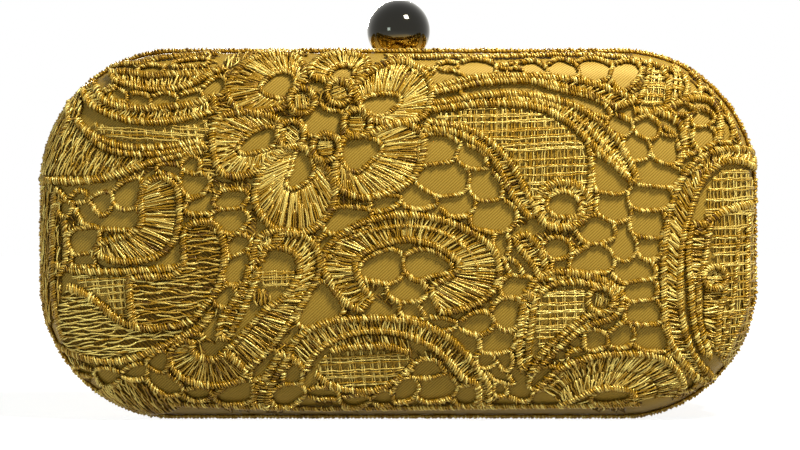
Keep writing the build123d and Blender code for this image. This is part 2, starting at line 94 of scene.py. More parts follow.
OPENINGS = (
    # flower
    ((-26, 80), (-23.5, 81.5), (-21.5, 83.5), (-19.5, 81.5), (-15, 81), (-15.8, 79), (-15.5, 76),
     (-17, 75.3), (-20, 75.3), (-24, 75.8), (-24, 77.5)),
    # under the flower
    ((-20, 52), (-18.5, 54), (-16, 55.5), (-9, 55), (-8, 52.5), (-10, 50.6), (-18, 50.2)),
    ((-6.5, 58.8), (-3, 58.8), (0, 59), (-1, 56.6), (-6, 55.6)),
    ((-48, 58.5), (-46.5, 60), (-41, 60), (-40.5, 58.5), (-43, 56.5), (-48, 56.5)),
    ((-48.5, 54), (-43, 55), (-40, 53), (-43.5, 50.5), (-49, 50.5)),
    ((-46, 44), (-44, 47), (-40, 47.5), (-39.5, 46.5), (-43, 44.5)),
    ((-46, 37), (-46, 40.5), (-40.5, 43), (-39, 41), (-39.5, 37)),
    ((-49, 31), (-46, 34), (-43.5, 33), (-45, 30)),
    ((-20.5, 36), (-15.5, 30), (-16, 27.5), (-24, 24.5), (-26.5, 26), (-24, 31)),
    ((-21, 47), (-16, 47.5), (-18, 43.5), (-20, 44)),
    # top row
    ((-2, 95.4), (1, 95.6), (4, 95.3), (1.5, 93), (-1.8, 93)),
    ((2.5, 92.5), (5, 93.6), (9.5, 93.5), (7.5, 91.8)),
    ((11, 94.6), (13.5, 95.2), (15.6, 94.6), (15, 93.3), (11.5, 93.2)),
    ((8.5, 90.5), (10, 92), (15, 92), (18, 90), (15, 88.4), (10, 88)),
    ((16, 93.5), (18, 95.3), (23.5, 95), (25.5, 93), (24.5, 91), (19.5, 90)),
    ((27, 94.4), (30, 95.2), (31.4, 94.2), (29, 93.4)),
    ((26, 92), (32, 92.8), (34, 91.5), (30, 91.2)),
    ((32, 94.5), (36, 95), (39.5, 92.5), (38, 91.5), (34.5, 92)),
    ((40, 93), (42, 95.5), (46, 94.5), (47.5, 92), (46, 90.8), (41, 91)),
    ((48.7, 92), (49, 95.5), (55, 95), (56.5, 93.5), (55, 90.5), (50, 90)),
    ((58, 94.5), (62.5, 94.8), (64, 92), (62, 89.5), (60, 87.5), (57, 89.5), (56.5, 91)),
    # slit of the long leaf, and the openings under it
    ((9.5, 85.3), (15, 86.4), (22, 88), (32, 88.5), (38, 87.9), (46, 86), (52, 84.4), (56.5, 81.4),
     (53, 81.2), (46, 84.4), (38, 86.6), (30, 87.3), (22, 86.8), (15, 85.4)),
    ((52, 70), (57, 66.5), (61.5, 62), (60, 60.5), (53, 61), (52.5, 63), (52, 68)),
    ((7, 74.5), (12, 75), (16.5, 73.5), (15, 70), (14, 68.5), (8, 68), (5.5, 68.5), (6, 70.5)),
    ((16.5, 72.6), (19, 72.5), (24, 68), (22, 66.5), (16, 68.8)),
    ((5, 65.5), (9, 67), (14, 67.6), (18, 65.5), (18, 62), (16, 60), (10, 59.5), (6, 61.5), (4.7, 64)),
    ((20, 65.2), (24.5, 65.6), (27.5, 60), (25, 58.5), (22, 58.5), (19.4, 61), (19.4, 63)),
    ((1.5, 60), (4, 61.8), (8, 60), (9.6, 58.5), (9.6, 56.6), (3, 56.2), (1.3, 57.5)),
    ((11, 57.5), (13, 58.6), (18, 58.8), (20, 57.3), (18.3, 55), (15, 54), (11, 56)),
    ((20.6, 55), (23, 57), (28.6, 57), (31, 54.5), (30, 51.2), (28, 50.5), (20.4, 50.8), (19.8, 53)),
    # right of the leaf
    ((55.5, 78), (58, 80), (61.3, 79), (62, 77), (60.5, 75.8), (57, 76.3)),
    ((63, 78), (64.5, 79.8), (68, 79.5), (69, 77), (68.5, 75.2), (66, 74.8), (63, 76.6)),
    ((70.5, 78), (73, 76.4), (74.5, 75.4), (70.4, 75.6)),
    ((60, 73.5), (62, 74.8), (65.8, 73.5), (66.4, 70), (64.5, 69.3), (61, 69.3), (60.3, 71.5)),
    ((69, 74.3), (73.6, 74.3), (74, 69), (72.5, 67.9), (69, 68.9), (67.8, 71)),
    ((63, 66.8), (65, 68), (70, 67.4), (75, 64.8), (75, 63), (70, 62.4), (64, 62.8), (62.7, 64.5)),
    ((74.9, 67.5), (77, 69.3), (80.5, 69), (79, 66.8), (76.7, 66)),
    ((61.5, 60.3), (65, 61.2), (70, 60.3), (73, 58.8), (71.2, 56.9), (65, 56), (62, 57.4)),
    ((53, 59), (58, 58.3), (61, 56), (60.7, 54), (58.5, 52.6), (55, 53.6), (53, 56)),
    ((62.4, 52.5), (64, 54.2), (70, 53.8), (70.8, 52), (70, 48.6), (64.8, 48.8), (62.4, 50.6)),
    ((47.5, 51), (51.5, 53.3), (56.6, 51.2), (56, 48.2), (50, 47.4)),
    ((72.5, 81.7), (75, 83.3), (79.3, 82.8), (77, 81.4)),
    ((77.7, 79.3), (80, 81.4), (82.6, 81.6), (83, 79), (80, 78.2)),
    ((78.2, 75.8), (80, 76.8), (83.2, 76.8), (83.6, 73.4), (80, 72.6)),
    ((85.4, 79), (88, 79), (88.3, 74.4), (85.4, 73.6)),
    ((80.5, 86.6), (82, 87.3), (83.6, 86), (82.6, 85.2)),
    # lower right
    ((46, 41), (50, 44.3), (54, 45.3), (57, 42), (55, 39.4), (48, 39.4)),
    ((57.2, 46), (60, 48.6), (62.6, 46.8), (62.4, 43.4), (58.4, 42.6)),
    ((64.2, 43.6), (64.8, 47.2), (69.8, 46.6), (69, 43.4)),
    ((56.4, 38.2), (60, 40.6), (65, 40.8), (68.6, 39), (67, 38), (60, 37)),
    ((59.7, 34), (64, 35.6), (68.3, 35.2), (68, 32.4), (61.3, 31.9)),
    ((60.4, 28.5), (65, 30.6), (69.3, 29.8), (69.8, 26.4), (65, 26), (61.3, 26.4)),
    ((50, 19.3), (50.4, 23), (54.4, 22.4), (55, 19.6), (54, 18.4), (50.4, 18.6)),
    ((56.4, 22), (59, 24.4), (62, 23.2), (61, 20.2), (58, 18.6), (56.4, 20)),
    ((63.4, 20.2), (65, 23.2), (70.8, 23.2), (71.8, 20), (70.8, 18.4), (64, 18.6)),
    ((71.2, 16.8), (74, 15.2), (75.8, 12.8), (74.6, 14.2)),
    ((75, 9), (77, 10.6), (79, 8.6), (76.4, 7.3)),
    ((45, 16), (47.6, 17.6), (51, 16.7), (49, 14.8)),
    ((51.5, 5), (55, 7), (61.5, 6.5), (60, 4.8), (53, 4.2)),
    # middle, low
    ((1.8, 39.2), (2.2, 43), (6, 44.3), (10, 43.3), (14, 40), (11, 38.7), (5, 38)),
    ((-9.8, 40), (-8, 42), (-3, 44.2), (0.2, 43.8), (0.2, 37.8), (-8.8, 37.2)),
    ((-3, 34), (2, 35.3), (7, 34.3), (6.3, 32.4), (0, 31.9)),
    ((0, 28.5), (3, 29.8), (6, 28.8), (7, 27), (4, 26.7)),
    ((6, 25.7), (14, 26), (15, 24.4), (11, 23.4)),
    ((16, 25), (20, 27.3), (23, 27.6), (24.6, 25), (23.6, 23.8), (17, 23)),
    ((25.6, 29), (27, 30.6), (32, 30.1), (33.6, 28), (32, 25.4), (28, 24.5), (26.4, 25.8)),
    ((22.2, 20.8), (30, 21.6), (30.8, 20), (29.2, 18.4), (23, 18), (22, 19)),
    ((27.5, 35), (29, 37), (33, 36.6), (36.5, 35.6), (35, 33.8), (28, 33.4)),
    ((27.4, 42), (31, 40.7), (34.4, 38.7), (31, 38.9)),
    ((25.4, 47.2), (28.3, 48.2), (29.2, 44.3), (27.2, 43.6)),
    ((38.8, 46), (42, 47.6), (45.4, 45.5), (43.6, 43.4), (40, 43.4)),
    ((40.8, 40.5), (43, 41.2), (45.4, 38.7), (44, 37.8), (41.4, 38.4)),
    ((20, 16), (24, 16), (25.6, 14.7), (22, 13.8)),
    ((27, 14.2), (29, 16.7), (30.2, 15.8), (29.2, 13.4)),
    ((22, 12.4), (26.5, 11.3), (31, 9.8), (26, 10.6)),
    ((35, 9), (38, 12.7), (42, 12.8), (43, 11.5), (41, 9.7), (38, 8.2)),
    ((2.7, 12), (6, 14.7), (9, 14.8), (12.6, 12.8), (10, 11.8), (4, 11.3)),
    ((0, 8.8), (3, 10.1), (5, 8.8), (3.6, 6), (1.8, 4.3), (-0.6, 3.8)),
    ((5.4, 6), (9, 9.5), (14, 10.9), (15, 8), (12.8, 5.4), (7, 4.4)),
    ((16.4, 7.3), (18, 8.2), (20.2, 7.7), (19.8, 3.6), (15.4, 4)),
    ((25.7, 8.8), (28.2, 7.8), (27.7, 5.8), (26, 5.8)),
    ((29.8, 7.4), (34, 7.3), (35.7, 5.6), (33, 4.8), (30.2, 5.2)),
    # left of the middle, low
    ((-39.5, 11.2), (-34.4, 17.4), (-32.6, 17.4), (-35, 13.5), (-36.8, 10.8)),
    ((-31, 10.2), (-27.4, 14.4), (-26, 11.5), (-26.4, 9.8)),
    ((-47.6, 5), (-45, 8.6), (-40.4, 9.1), (-39, 8), (-40.4, 4.3), (-46.6, 4)),
    ((-33.3, 4.2), (-32, 7.6), (-25.4, 7.6), (-26.2, 5.2), (-30, 3)),
    ((-24, 6.3), (-22, 7.6), (-16.4, 6.8), (-17, 5.9), (-23, 5.3)),
    ((-15.6, 4.1), (-10, 5.6), (-7.6, 4.8), (-11, 3)),
    ((-7, 4), (-4, 7.2), (-2.3, 5.6), (-3, 3.3)),
    # lower left
    ((-87, 49), (-80.9, 50), (-80.4, 46.6), (-83, 44.6), (-87, 44.4)),
    ((-87.4, 41.6), (-85, 42.8), (-81.4, 42.8), (-81, 41), (-86.6, 40.8)),
    ((-66.6, 15.3), (-62.4, 17.4), (-61.6, 15), (-62, 13), (-65.2, 13.4)),
    ((-72.6, 12.2), (-68, 14.5), (-67.8, 11.8), (-69.4, 10.5), (-72.6, 10.9)),
    ((-80.4, 11), (-79.6, 12.6), (-75, 12.2), (-75.4, 9.8), (-78.3, 8.6)),
    ((-86.6, 13), (-82, 13.2), (-82.8, 11.4)),
    ((-66.4, 10), (-63, 11), (-58.2, 8.5), (-60.3, 6), (-64, 7.8)),
    ((-56.4, 5.6), (-55, 7.3), (-50.6, 7.2), (-52.2, 4.9)),
    ((-57.6, 21), (-52.4, 21.8), (-53, 20.9)),
    # upper left
    ((-69.5, 92.6), (-66, 93.8), (-63.2, 93.3), (-63.2, 92.3), (-67, 91.9)),
    ((-60, 94.3), (-56, 95.2), (-51, 95.6), (-52, 94.4)),
    ((-79, 88.6), (-76, 89.4), (-75.2, 88.2), (-78, 87.2)),
    ((-77.9, 86.2), (-75.4, 87.6), (-73.1, 86.8), (-72.8, 84.4), (-75.3, 84.3)),
    ((-71.8, 85), (-71.1, 86.6), (-66.7, 85.6), (-66.8, 82.7), (-70.6, 83)),
    ((-65.6, 84.8), (-64, 85.9), (-59.7, 86.2), (-59.4, 83.1), (-62.7, 82.4), (-65.4, 82.8)),
    ((-58.3, 85.1), (-53.6, 87.4), (-52.5, 85.4), (-53, 83.9), (-57.5, 83.2)),
    ((-51.7, 88.3), (-47, 90.5), (-46.6, 87.5), (-49.6, 85.7), (-51.4, 85.6)),
    ((-57, 68.5), (-54.4, 69.3), (-53.2, 67), (-54.7, 65.9), (-56.8, 66.4)),
    ((-64.4, 66.4), (-60, 67.2), (-58.4, 66.2), (-58.4, 64.4), (-61, 65.3)),
    ((-57.6, 62), (-50.6, 64), (-52.2, 60.7), (-56.3, 60)),
    ((-75.6, 61), (-69.4, 63.4), (-69, 62), (-70, 57.2), (-75.1, 56.6), (-75.6, 59)),
    ((-81.8, 58.3), (-77.3, 60), (-76.7, 57), (-78.3, 55.1), (-81.5, 56)),
    ((-87.6, 59), (-85, 60.1), (-80, 60.3), (-82.6, 58.6), (-86, 57.8)),
    ((-90.3, 57.3), (-88.3, 57.2), (-87, 55.4), (-88.7, 54), (-90.2, 55)),
    ((-79.4, 52.3), (-70, 54.6), (-68.8, 53), (-70.4, 50.6), (-78, 51)),
    ((-56.6, 56), (-53, 57.6), (-50.4, 56.6), (-51.2, 55.2), (-55.6, 54.9)),
)

# Loose nets: outline, then the slopes of its two sets of threads in degrees and their spacing
NETS = (
    (((9, 81), (22, 82.5), (34, 82), (41, 79.6), (46, 76), (49.6, 71.5), (50.2, 62), (44, 62.6),
      (38, 61), (36.5, 57.5), (33.5, 63.6), (30, 69), (26, 73), (21, 76.2), (15, 78)), (2, 88),
     (2.0, 1.6)),
    (((64.4, 84.2), (66.6, 89.4), (67.6, 93.4), (70, 92), (71.4, 88.6), (71, 84)), (-4, 84),
     (1.7, 1.7)),
    (((72.4, 85), (73, 90), (73.4, 93.6), (75, 91.6), (76, 88.6), (75.4, 86)), (-12, 84), (1.8, 1.7)),
    (((-21, 14), (-18, 17.4), (-10, 18), (-2, 17.6), (3, 16), (1, 12.5), (-3, 9.2), (-9, 7.8),
      (-15, 8.2), (-20, 10.6)), (3, 96), (2.1, 1.9)),
    (((37, 19.5), (36.6, 32), (41, 34.6), (48.6, 34.8), (50, 30), (49, 27.4), (45, 24.4), (40.6, 20.8)),
     (2, 92), (1.7, 2.2)),
    (((85.4, 16), (85.8, 28), (86.4, 35), (85, 40), (83.4, 44), (83, 50), (81.6, 54), (82.4, 61),
      (86.6, 65.6), (94.4, 63.4), (94.9, 40), (93.6, 26), (89.6, 14.4)), (2, 92), (2.4, 1.9)),
    (((-81, 78.6), (-76, 77.2), (-70, 77), (-62, 77.2), (-55, 78), (-51, 79), (-51, 75.4), (-58, 74),
      (-66, 73.4), (-74, 74), (-79, 75.8)), (-4, 100), (1.8, 2.2)),
    (((-87, 38), (-80, 37.6), (-72.6, 37.6), (-72.4, 33), (-72, 27), (-75, 27.6), (-79, 32), (-84, 35)),
     (5, 95), (1.9, 1.7)),
    (((-36.5, 38.8), (-28, 39), (-27.6, 36.5), (-30, 35), (-34, 34.8), (-37, 35.8)), (2, 92),
     (1.4, 1.5)),
)

# Petals and eyes: the opening in the middle of each, and its outer edge
PETALS = (
    (((-36.3, 87.8), (-35, 89.5), (-32, 91.6), (-29, 91.5), (-28, 89), (-28.8, 86.5), (-30, 85.7),
      (-34, 86.2)),
     ((-45.5, 86), (-44, 91), (-39, 95.5), (-32, 97), (-26.5, 95.5), (-25, 91), (-28, 87.5),
      (-29.5, 83.5), (-35, 81.6), (-42, 82))),
    (((-18, 91), (-16, 93.2), (-13, 93.6), (-12.3, 92), (-13, 90.5), (-17, 90.6)),
     ((-23.5, 92), (-20.5, 96), (-14, 97), (-8.5, 95.5), (-9, 91), (-12.5, 88.8), (-17, 90),
      (-20, 90))),
    (((-10, 83.5), (-7.5, 85.2), (-3, 85.8), (0, 85.3), (0, 84), (-2, 82.5), (-5, 81), (-8, 82)),
     ((-11.5, 88), (-7, 92.5), (0, 95), (6, 92.8), (8.6, 88.5), (8.4, 83.5), (6, 80), (0, 78.6),
      (-5.5, 78.8), (-9, 80.8))),
    (((-42, 72), (-38.5, 75.5), (-33.5, 77), (-33, 74), (-35, 72), (-41.5, 70.8)),
     ((-49, 70), (-49.5, 76), (-47, 80.3), (-41, 81.2), (-33.5, 80.2), (-31, 76.6), (-31.6, 71.8),
      (-35, 67.4), (-41, 64.4), (-47, 65.2))),
    (((-25, 71.8), (-23.5, 68), (-23.2, 65), (-26, 62.5), (-29.5, 61.5), (-28, 66), (-27, 70)),
     ((-34, 69), (-37.5, 63), (-38, 57), (-34.4, 51.4), (-28.5, 49), (-22.5, 50.4), (-18.4, 54.6),
      (-16.8, 60), (-19, 66.4), (-23, 70), (-27, 72.6))),
    (((-14.5, 73), (-9, 74.3), (-5, 72.5), (-5.2, 71), (-8, 68.5), (-11, 66), (-13.5, 67), (-14.5, 69)),
     ((-17, 65), (-15, 60.6), (-9, 58.6), (-3, 60), (3.4, 63.4), (6.2, 69), (6.4, 75), (2, 78.4),
      (-4, 77.2), (-8, 75.6), (-14, 74.8), (-16, 70))),
    (((39.8, 57), (41.5, 59), (44, 59.7), (46.5, 58.5), (47.8, 56.2), (46, 54.5), (43, 54), (40.8, 55)),
     ((36.6, 57), (38.6, 61), (43, 62.8), (48, 61.6), (50.8, 58), (50, 53.5), (46, 51), (41, 50.8),
      (37.8, 53))),
)

# Small rings with a few threads across: middle, radius and the threads' slope in degrees
RINGS = (
    ((-25.6, 84.3), 3.4, 95),
    ((-15.8, 86.6), 3.2, 20),
    ((-11, 78.4), 3.6, 2),
    ((-19.3, 72), 3.6, 5),
    ((-28.6, 75.4), 3.6, 140),
    ((53.8, 31.4), 3.4, 80),
    ((84, 37.4), 3.0, 30),
)

# Satin-stitched bands: the two edges that the stitches run between, and which of them are corded
BANDS = (
    # long leaf
    (((8, 88), (13, 89.4), (20, 91), (30, 91.4), (38, 91.2), (46, 90.6), (54, 88.8), (60, 86.4),
      (64, 84.6)),
     ((9, 86.4), (14, 87.1), (22, 88.8), (32, 89.4), (38, 88.9), (45, 87.4), (50, 86), (54, 84.4),
      (58, 82)), "ab"),
    (((8, 84), (14, 84.9), (22, 86.3), (30, 86.8), (38, 85.9), (46, 83.8), (52, 80.5), (57, 76),
      (61, 70.5), (64, 63.4)),
     ((8, 81.6), (14, 82.3), (22, 83.1), (30, 83.2), (37, 82.2), (43, 79.6), (47.5, 76), (52, 71.6),
      (57, 67.2), (62, 62)), "ab"),
    (((6, 76.2), (12, 76.2), (16.5, 75), (20, 73), (24, 69.6), (26.4, 66), (28.2, 62), (30.8, 57.4),
      (34, 53.4)),
     ((8, 79.4), (14, 78.4), (19.5, 77), (24, 74.4), (28.5, 70), (31.5, 66), (34, 61), (36.6, 56),
      (37, 53.4)), "ab"),
    # arch round the middle scroll: outer row, then inner row
    (((-10, 28), (-14, 30), (-17, 33.5), (-20, 38.5), (-20.5, 42), (-19, 46), (-14, 50.3), (-8, 53),
      (-1, 54.4), (5, 54.4), (12, 53), (18, 50.6), (23, 47.6), (26, 44.2), (27.3, 40), (26.8, 35.6),
      (24, 32), (20, 29.5), (15, 28), (11, 27.6)),
     ((-6.4, 32), (-8.6, 34.5), (-10.5, 38), (-11, 41), (-9, 43.4), (-3, 46), (2, 47), (7, 46.2),
      (11.4, 44.4), (14.8, 41.9), (16, 40.4), (13.4, 38), (10.6, 36.6), (8.6, 35.2), (8.4, 33),
      (9.2, 31)), "ab"),
    # low arch
    (((-30, 17), (-27.6, 21), (-24, 23.8), (-19, 25.8), (-12, 26.8), (-4, 26.9), (3, 26.3), (9, 24.3),
      (14, 21.4), (18, 17.5), (21.6, 13), (24.4, 9), (24.6, 3.4)),
     ((-24.6, 12), (-23, 15), (-20, 18.4), (-15, 21), (-10, 22.4), (-3, 22.5), (3, 21.2), (8, 18.8),
      (12, 15.8), (15, 12.4), (17.4, 9.8), (20.6, 8.4), (21, 3.2)), "ab"),
    (((-19, 19.6), (-14, 21.4), (-9, 22), (-3, 22.1), (2.6, 20.8)),
     ((-18, 17.8), (-13, 18.8), (-8, 19), (-3, 19), (3, 17.4)), "b"),
    # fan at the lower right, outer and inner rows
    (((37, 7.6), (42, 12.4), (48, 15.2), (54, 16.6), (60, 17), (66, 16.8), (71, 15.2), (74.6, 11.8),
      (75.8, 8.6), (74, 5.6)),
     ((41.4, 5.4), (45, 8.6), (49.6, 11), (54.6, 12), (59.6, 12.2), (64, 11.8), (67.4, 10.2), (69, 8),
      (69, 6.4), (68, 4.8)), "a"),
    (((41.4, 5.6), (45, 8.8), (49.6, 11.2), (54.6, 12.2), (59.6, 12.4), (64, 12), (67.4, 10.4),
      (69, 8.2), (69, 6.6), (68, 5)),
     ((43.6, 3.6), (47, 5), (51, 7), (55, 7.9), (59, 7.8), (62, 7), (62.8, 6), (62.8, 5.2), (62.6, 4.6),
      (62, 4)), "b"),
    # leaf at the lower right
    (((33.4, 33), (36, 37), (40, 39), (45, 39.3), (50, 38.4), (55, 36.8), (59.4, 33.6), (59.8, 29.4),
      (57, 26.2), (51.4, 24.4), (47, 21.8), (42, 17.4), (38, 13.4), (34.4, 10.6)),
     ((37, 30.4), (38.2, 33), (41, 35), (45, 35.6), (48.6, 35.6), (51.6, 34.8), (56, 34.6),
      (57.6, 31.4), (55.4, 28.4), (51, 28), (47.6, 25.8), (43, 22.2), (39, 18.6), (35.6, 14.4)), "ab"),
    (((33.6, 34), (32.4, 29), (31.8, 23), (31.4, 17), (32.4, 12)),
     ((37, 32), (36.2, 28), (35.6, 23), (35, 18), (35, 14)), "ab"),
    (((34, 49.6), (37.6, 46), (39.4, 41), (40.8, 36.6)),
     ((30, 48), (32, 44.6), (35, 41), (37.2, 37)), "ab"),
    # paisley at the right edge
    (((94.6, 70.5), (90, 72), (85, 71.7), (80, 69.6), (76.4, 66), (74, 61.5), (72.3, 57), (71, 52),
      (70.3, 46), (70, 40), (70, 34), (70.2, 28), (71, 22.6), (73.6, 17), (77.4, 12), (81.4, 9)),
     ((94.6, 66), (91, 67.8), (86.6, 67.6), (83, 65), (80.6, 61.6), (79, 57.6), (77.8, 53.6),
      (76.6, 49.6), (75.8, 45), (75.4, 40), (75.3, 34.6), (75.6, 29), (76.4, 24), (78, 19),
      (80.6, 14.6), (84, 11)), "ab"),
    (((77.8, 52), (76.8, 47), (76.6, 42), (77, 37), (77.4, 32), (77.8, 27), (78.8, 22), (80.6, 17)),
     ((83.6, 52), (82.6, 47), (82, 42), (80.6, 37), (80.2, 32), (80.4, 27), (81.4, 22), (83.4, 16)),
     "ab"),
    (((80.8, 38), (81.4, 34), (81.2, 29), (81.6, 24), (82.4, 19)),
     ((87, 38), (86.6, 33), (85.4, 28), (85, 23), (84.6, 18)), "b"),
    # swath left of the middle
    (((-31, 50.6), (-25, 49), (-21.6, 45.6), (-20.4, 41.5), (-20.8, 38), (-23.4, 33), (-26.4, 28),
      (-29.8, 23.5), (-33, 18.9), (-37, 15), (-41, 12)),
     ((-33, 45), (-29, 44.2), (-27, 42), (-26.8, 38.5), (-29, 34.4), (-32, 31.4), (-35, 29.6),
      (-38, 26.6), (-41, 23.4), (-44, 20), (-46.5, 18.4)), "ab"),
    (((-39.4, 41), (-38.6, 46), (-36, 49.3), (-31, 50.8)),
     ((-36, 41.5), (-35.5, 43.6), (-34.4, 44.8), (-33, 45)), "ab"),
    (((-40.2, 40.5), (-41, 37), (-43, 33), (-45.5, 29.4), (-47.6, 26), (-48.6, 21)),
     ((-36.6, 40), (-37.6, 36), (-39.4, 32), (-41, 28.4), (-43, 24.6), (-45, 20.6)), "ab"),
    (((-39, 2.8), (-38.6, 7), (-36, 10.6), (-34, 13.6), (-31.8, 17.6)),
     ((-34.6, 2.8), (-33.8, 7), (-32.4, 10.4), (-30.6, 13), (-28.6, 16.6)), "ab"),
    # shell fan
    (((-57, 21.4), (-60.6, 18.6), (-61.2, 15), (-59.4, 11.6), (-56, 9.4), (-51, 8.2), (-46, 8.4),
      (-42, 9.6), (-40, 12), (-42, 14.6)),
     ((-54, 20), (-54.6, 18.4), (-54, 17.2), (-52.6, 16.4), (-51.4, 16), (-50, 15.8), (-48.8, 16),
      (-47.8, 16.6), (-47, 17.4), (-46.6, 18)), "ab"),
    # scroll that comes down and curls to the left
    (((-66.4, 63.6), (-62.4, 64.4), (-58.8, 62), (-57.7, 57), (-58, 51), (-59.6, 46.4), (-64, 42.6),
      (-70, 41.2), (-76, 41.4), (-80.5, 43.2)),
     ((-67.6, 62.4), (-68.8, 60), (-69, 57), (-68.6, 53.6), (-69.4, 50.8), (-71.4, 49.4), (-73.6, 48.5),
      (-76, 48), (-78.4, 47.2), (-80.6, 46)), "ab"),
    # scrolls at the upper left
    (((-77, 92.2), (-72, 92.5), (-66, 91.6), (-60, 92), (-52, 92.3), (-46, 93.2)),
     ((-76, 89.6), (-71, 88.1), (-66, 87.1), (-60, 87.3), (-55, 88.6), (-50, 91.2)), "ab"),
    (((-80.4, 89.5), (-79.4, 86.4), (-77, 84.4), (-73, 83.3), (-69, 82.8), (-64, 83), (-58, 83.6),
      (-53, 84.6), (-49, 86.3)),
     ((-84.2, 87.4), (-82.6, 83.5), (-78.5, 81), (-74, 79.3), (-69, 78.4), (-64, 78.3), (-58, 79),
      (-52, 80.4), (-48, 81.8)), "ab"),
    (((-86, 80), (-82.6, 76.8), (-79, 74.6), (-74, 72.9), (-68, 72.3), (-60, 72.9), (-53, 74.2)),
     ((-85, 77.6), (-80.4, 72.8), (-75, 70.4), (-68, 69.7), (-60, 70.4), (-54, 71.4), (-50.6, 71.8)),
     "ab"),
)

# Areas filled with straight stitches: outline, slope in degrees, spacing, tone, and whether its edge
# is corded
FILLS = (
    (((-57, 49.6), (-53.5, 52), (-49, 51.6), (-46.8, 48), (-46.3, 42), (-47.3, 37), (-49, 33),
      (-52, 29.4), (-55, 26), (-60, 24.4), (-70, 24.4), (-71.4, 31), (-71, 36.6), (-66, 37.6),
      (-60, 38), (-57.2, 41)), 2, 0.85, 0.6, True),
    (((-90, 32), (-86, 33.6), (-80, 30.4), (-76, 26), (-71, 24.2), (-60, 24), (-57, 22), (-62, 20.4),
      (-70, 17.4), (-80, 15.8), (-88, 18), (-91, 24)), 6, 0.85, 0.95, False),
    (((-95.4, 64.8), (-94.6, 72), (-91, 79), (-87, 79.5), (-84, 76), (-80, 72), (-75, 70), (-68, 69.4),
      (-62, 69), (-68, 67), (-74, 65), (-82, 64.4)), 62, 0.62, 0.6, False),
    (((-94, 79), (-90, 88), (-84.6, 91.6), (-84.4, 86), (-86.4, 80)), 74, 0.8, 0.6, False),
    (((-96, 24), (-96, 62), (-91, 61), (-90.6, 52), (-90, 40), (-91.4, 28)), 82, 0.8, 0.6, False),
    (((-81, 6.4), (-76, 9.4), (-70, 9.6), (-64, 7.2), (-58, 4.4), (-60, 1.4), (-70, 1.4), (-78, 4)),
     118, 0.7, 0.5, False),
    (((-52.6, 64), (-52, 70), (-50.8, 78), (-50, 81), (-44, 82.4), (-43, 78), (-45, 71), (-48, 64.4)),
     4, 0.9, 0.6, False),
    (((-51, 81.6), (-49, 86.6), (-45.6, 86.6), (-43, 82.6)), 3, 0.8, 0.6, False),
    (((-46, 92.8), (-44, 97), (-30, 98), (-24, 97), (-34, 97.4), (-41, 95.6)), 80, 0.8, 0.6, False),
    (((-38.4, 34), (-35.4, 34), (-34, 31), (-37.4, 29.6), (-39, 32)), 92, 0.6, 0.6, False),
)

# Cords on their own: route and width
CORDS = (
    (((50.6, 73), (51.3, 68), (51.3, 63.6), (50.8, 60)), 2.2),
    (((30, 85), (38, 84.2), (44, 82), (50, 77.6), (54, 73.2), (57.6, 69), (61, 64)), 1.8),
    (((-14, 47.4), (-8, 49.6), (0, 51), (8, 50.4), (14, 48), (19, 44), (21, 40)), 1.0),
    (((-3, 96.4), (10, 96.4), (24, 96.4), (40, 96.8), (50, 96.9), (58, 96.4), (66, 94.8), (74, 92.2)),
     1.5),
    (((66.9, 95), (66, 89.6), (63.8, 84)), 1.5),
    (((70.1, 93.4), (71.9, 89.2), (71.5, 84)), 1.7),
    (((73, 94), (76, 91.4), (77, 87.6), (75.8, 84.4)), 1.9),
    (((77.6, 92.4), (80, 89.8), (80.6, 86.2)), 1.7),
    (((62.6, 82), (68.2, 81.4), (72.7, 83.2), (77.3, 85.1), (81.8, 85.1), (85, 82.5), (85.8, 77.4),
      (85.3, 73.6)), 2.3),
    (((68, 81.8), (72, 80.4), (75, 78), (76.2, 74), (75.8, 70.4), (74.6, 67.6)), 2.3),
    (((76.2, 76), (76.8, 79), (77, 81)), 1.6),
    (((94.4, 57), (90, 56), (86, 54.6), (82, 52), (79, 49)), 2.2),
    (((93.6, 54), (93.2, 46), (93, 38), (92.6, 30), (90.6, 24), (87, 16)), 2.0),
    (((90.6, 50), (90, 42), (89.4, 34), (88, 26), (85.4, 17)), 1.2),
    (((-22, 11.6), (-18, 8.6), (-11, 7), (-5, 7.6), (0, 10.4), (3.4, 13)), 2.0),
    (((-91, 40.6), (-86, 39.2), (-80, 39), (-73, 39), (-66, 39.4), (-60, 39.8), (-57, 41)), 2.1),
    (((-88, 34.6), (-83.6, 33), (-79.4, 30), (-76, 27), (-73, 25.3), (-70, 24.6)), 2.3),
    (((-71.6, 38), (-71.6, 33), (-70.8, 28), (-70.2, 24.8)), 2.2),
    (((-90.4, 19), (-85, 16.2), (-79, 15), (-73, 15.2), (-67, 17.2), (-61, 19.8), (-56, 22.4),
      (-52, 24.6), (-50, 28)), 2.2),
    (((-95.4, 63.6), (-88, 63), (-80, 63.6), (-74, 65.2), (-68, 67.4), (-62, 69.2), (-57, 70.4),
      (-52, 71)), 2.3),
    (((-78, 93.4), (-70, 94.6), (-64, 96), (-56, 96.8), (-48, 97.2)), 1.8),
    (((-91, 61), (-88.6, 58.4), (-86, 55.4), (-84, 51.8), (-80, 50.6)), 1.3),
    (((-89, 52), (-88.4, 47), (-88.6, 42), (-90.4, 38)), 1.8),
    (((-91.6, 60), (-92.2, 50), (-92.2, 40), (-91.6, 30), (-89.6, 21)), 2.2),
    (((-94.6, 62), (-95.2, 50), (-95, 38), (-94.2, 28), (-92, 20)), 2.0),
    (((-60, 3.4), (-48, 3), (-36, 2.4), (-20, 2.2), (0, 2.4), (20, 2.6), (36, 2.8), (52, 3), (64, 3.4)),
     1.5),
    (((-84, 92), (-87, 86), (-88, 80), (-90, 75)), 1.6),
    (((85.4, 84), (88, 80.6), (89.6, 76.6), (91, 73)), 1.8),
)


# ---- The face of the bag ----

# Stands in for a length that may be nothing, where it is divided by
TINY = 1e-9

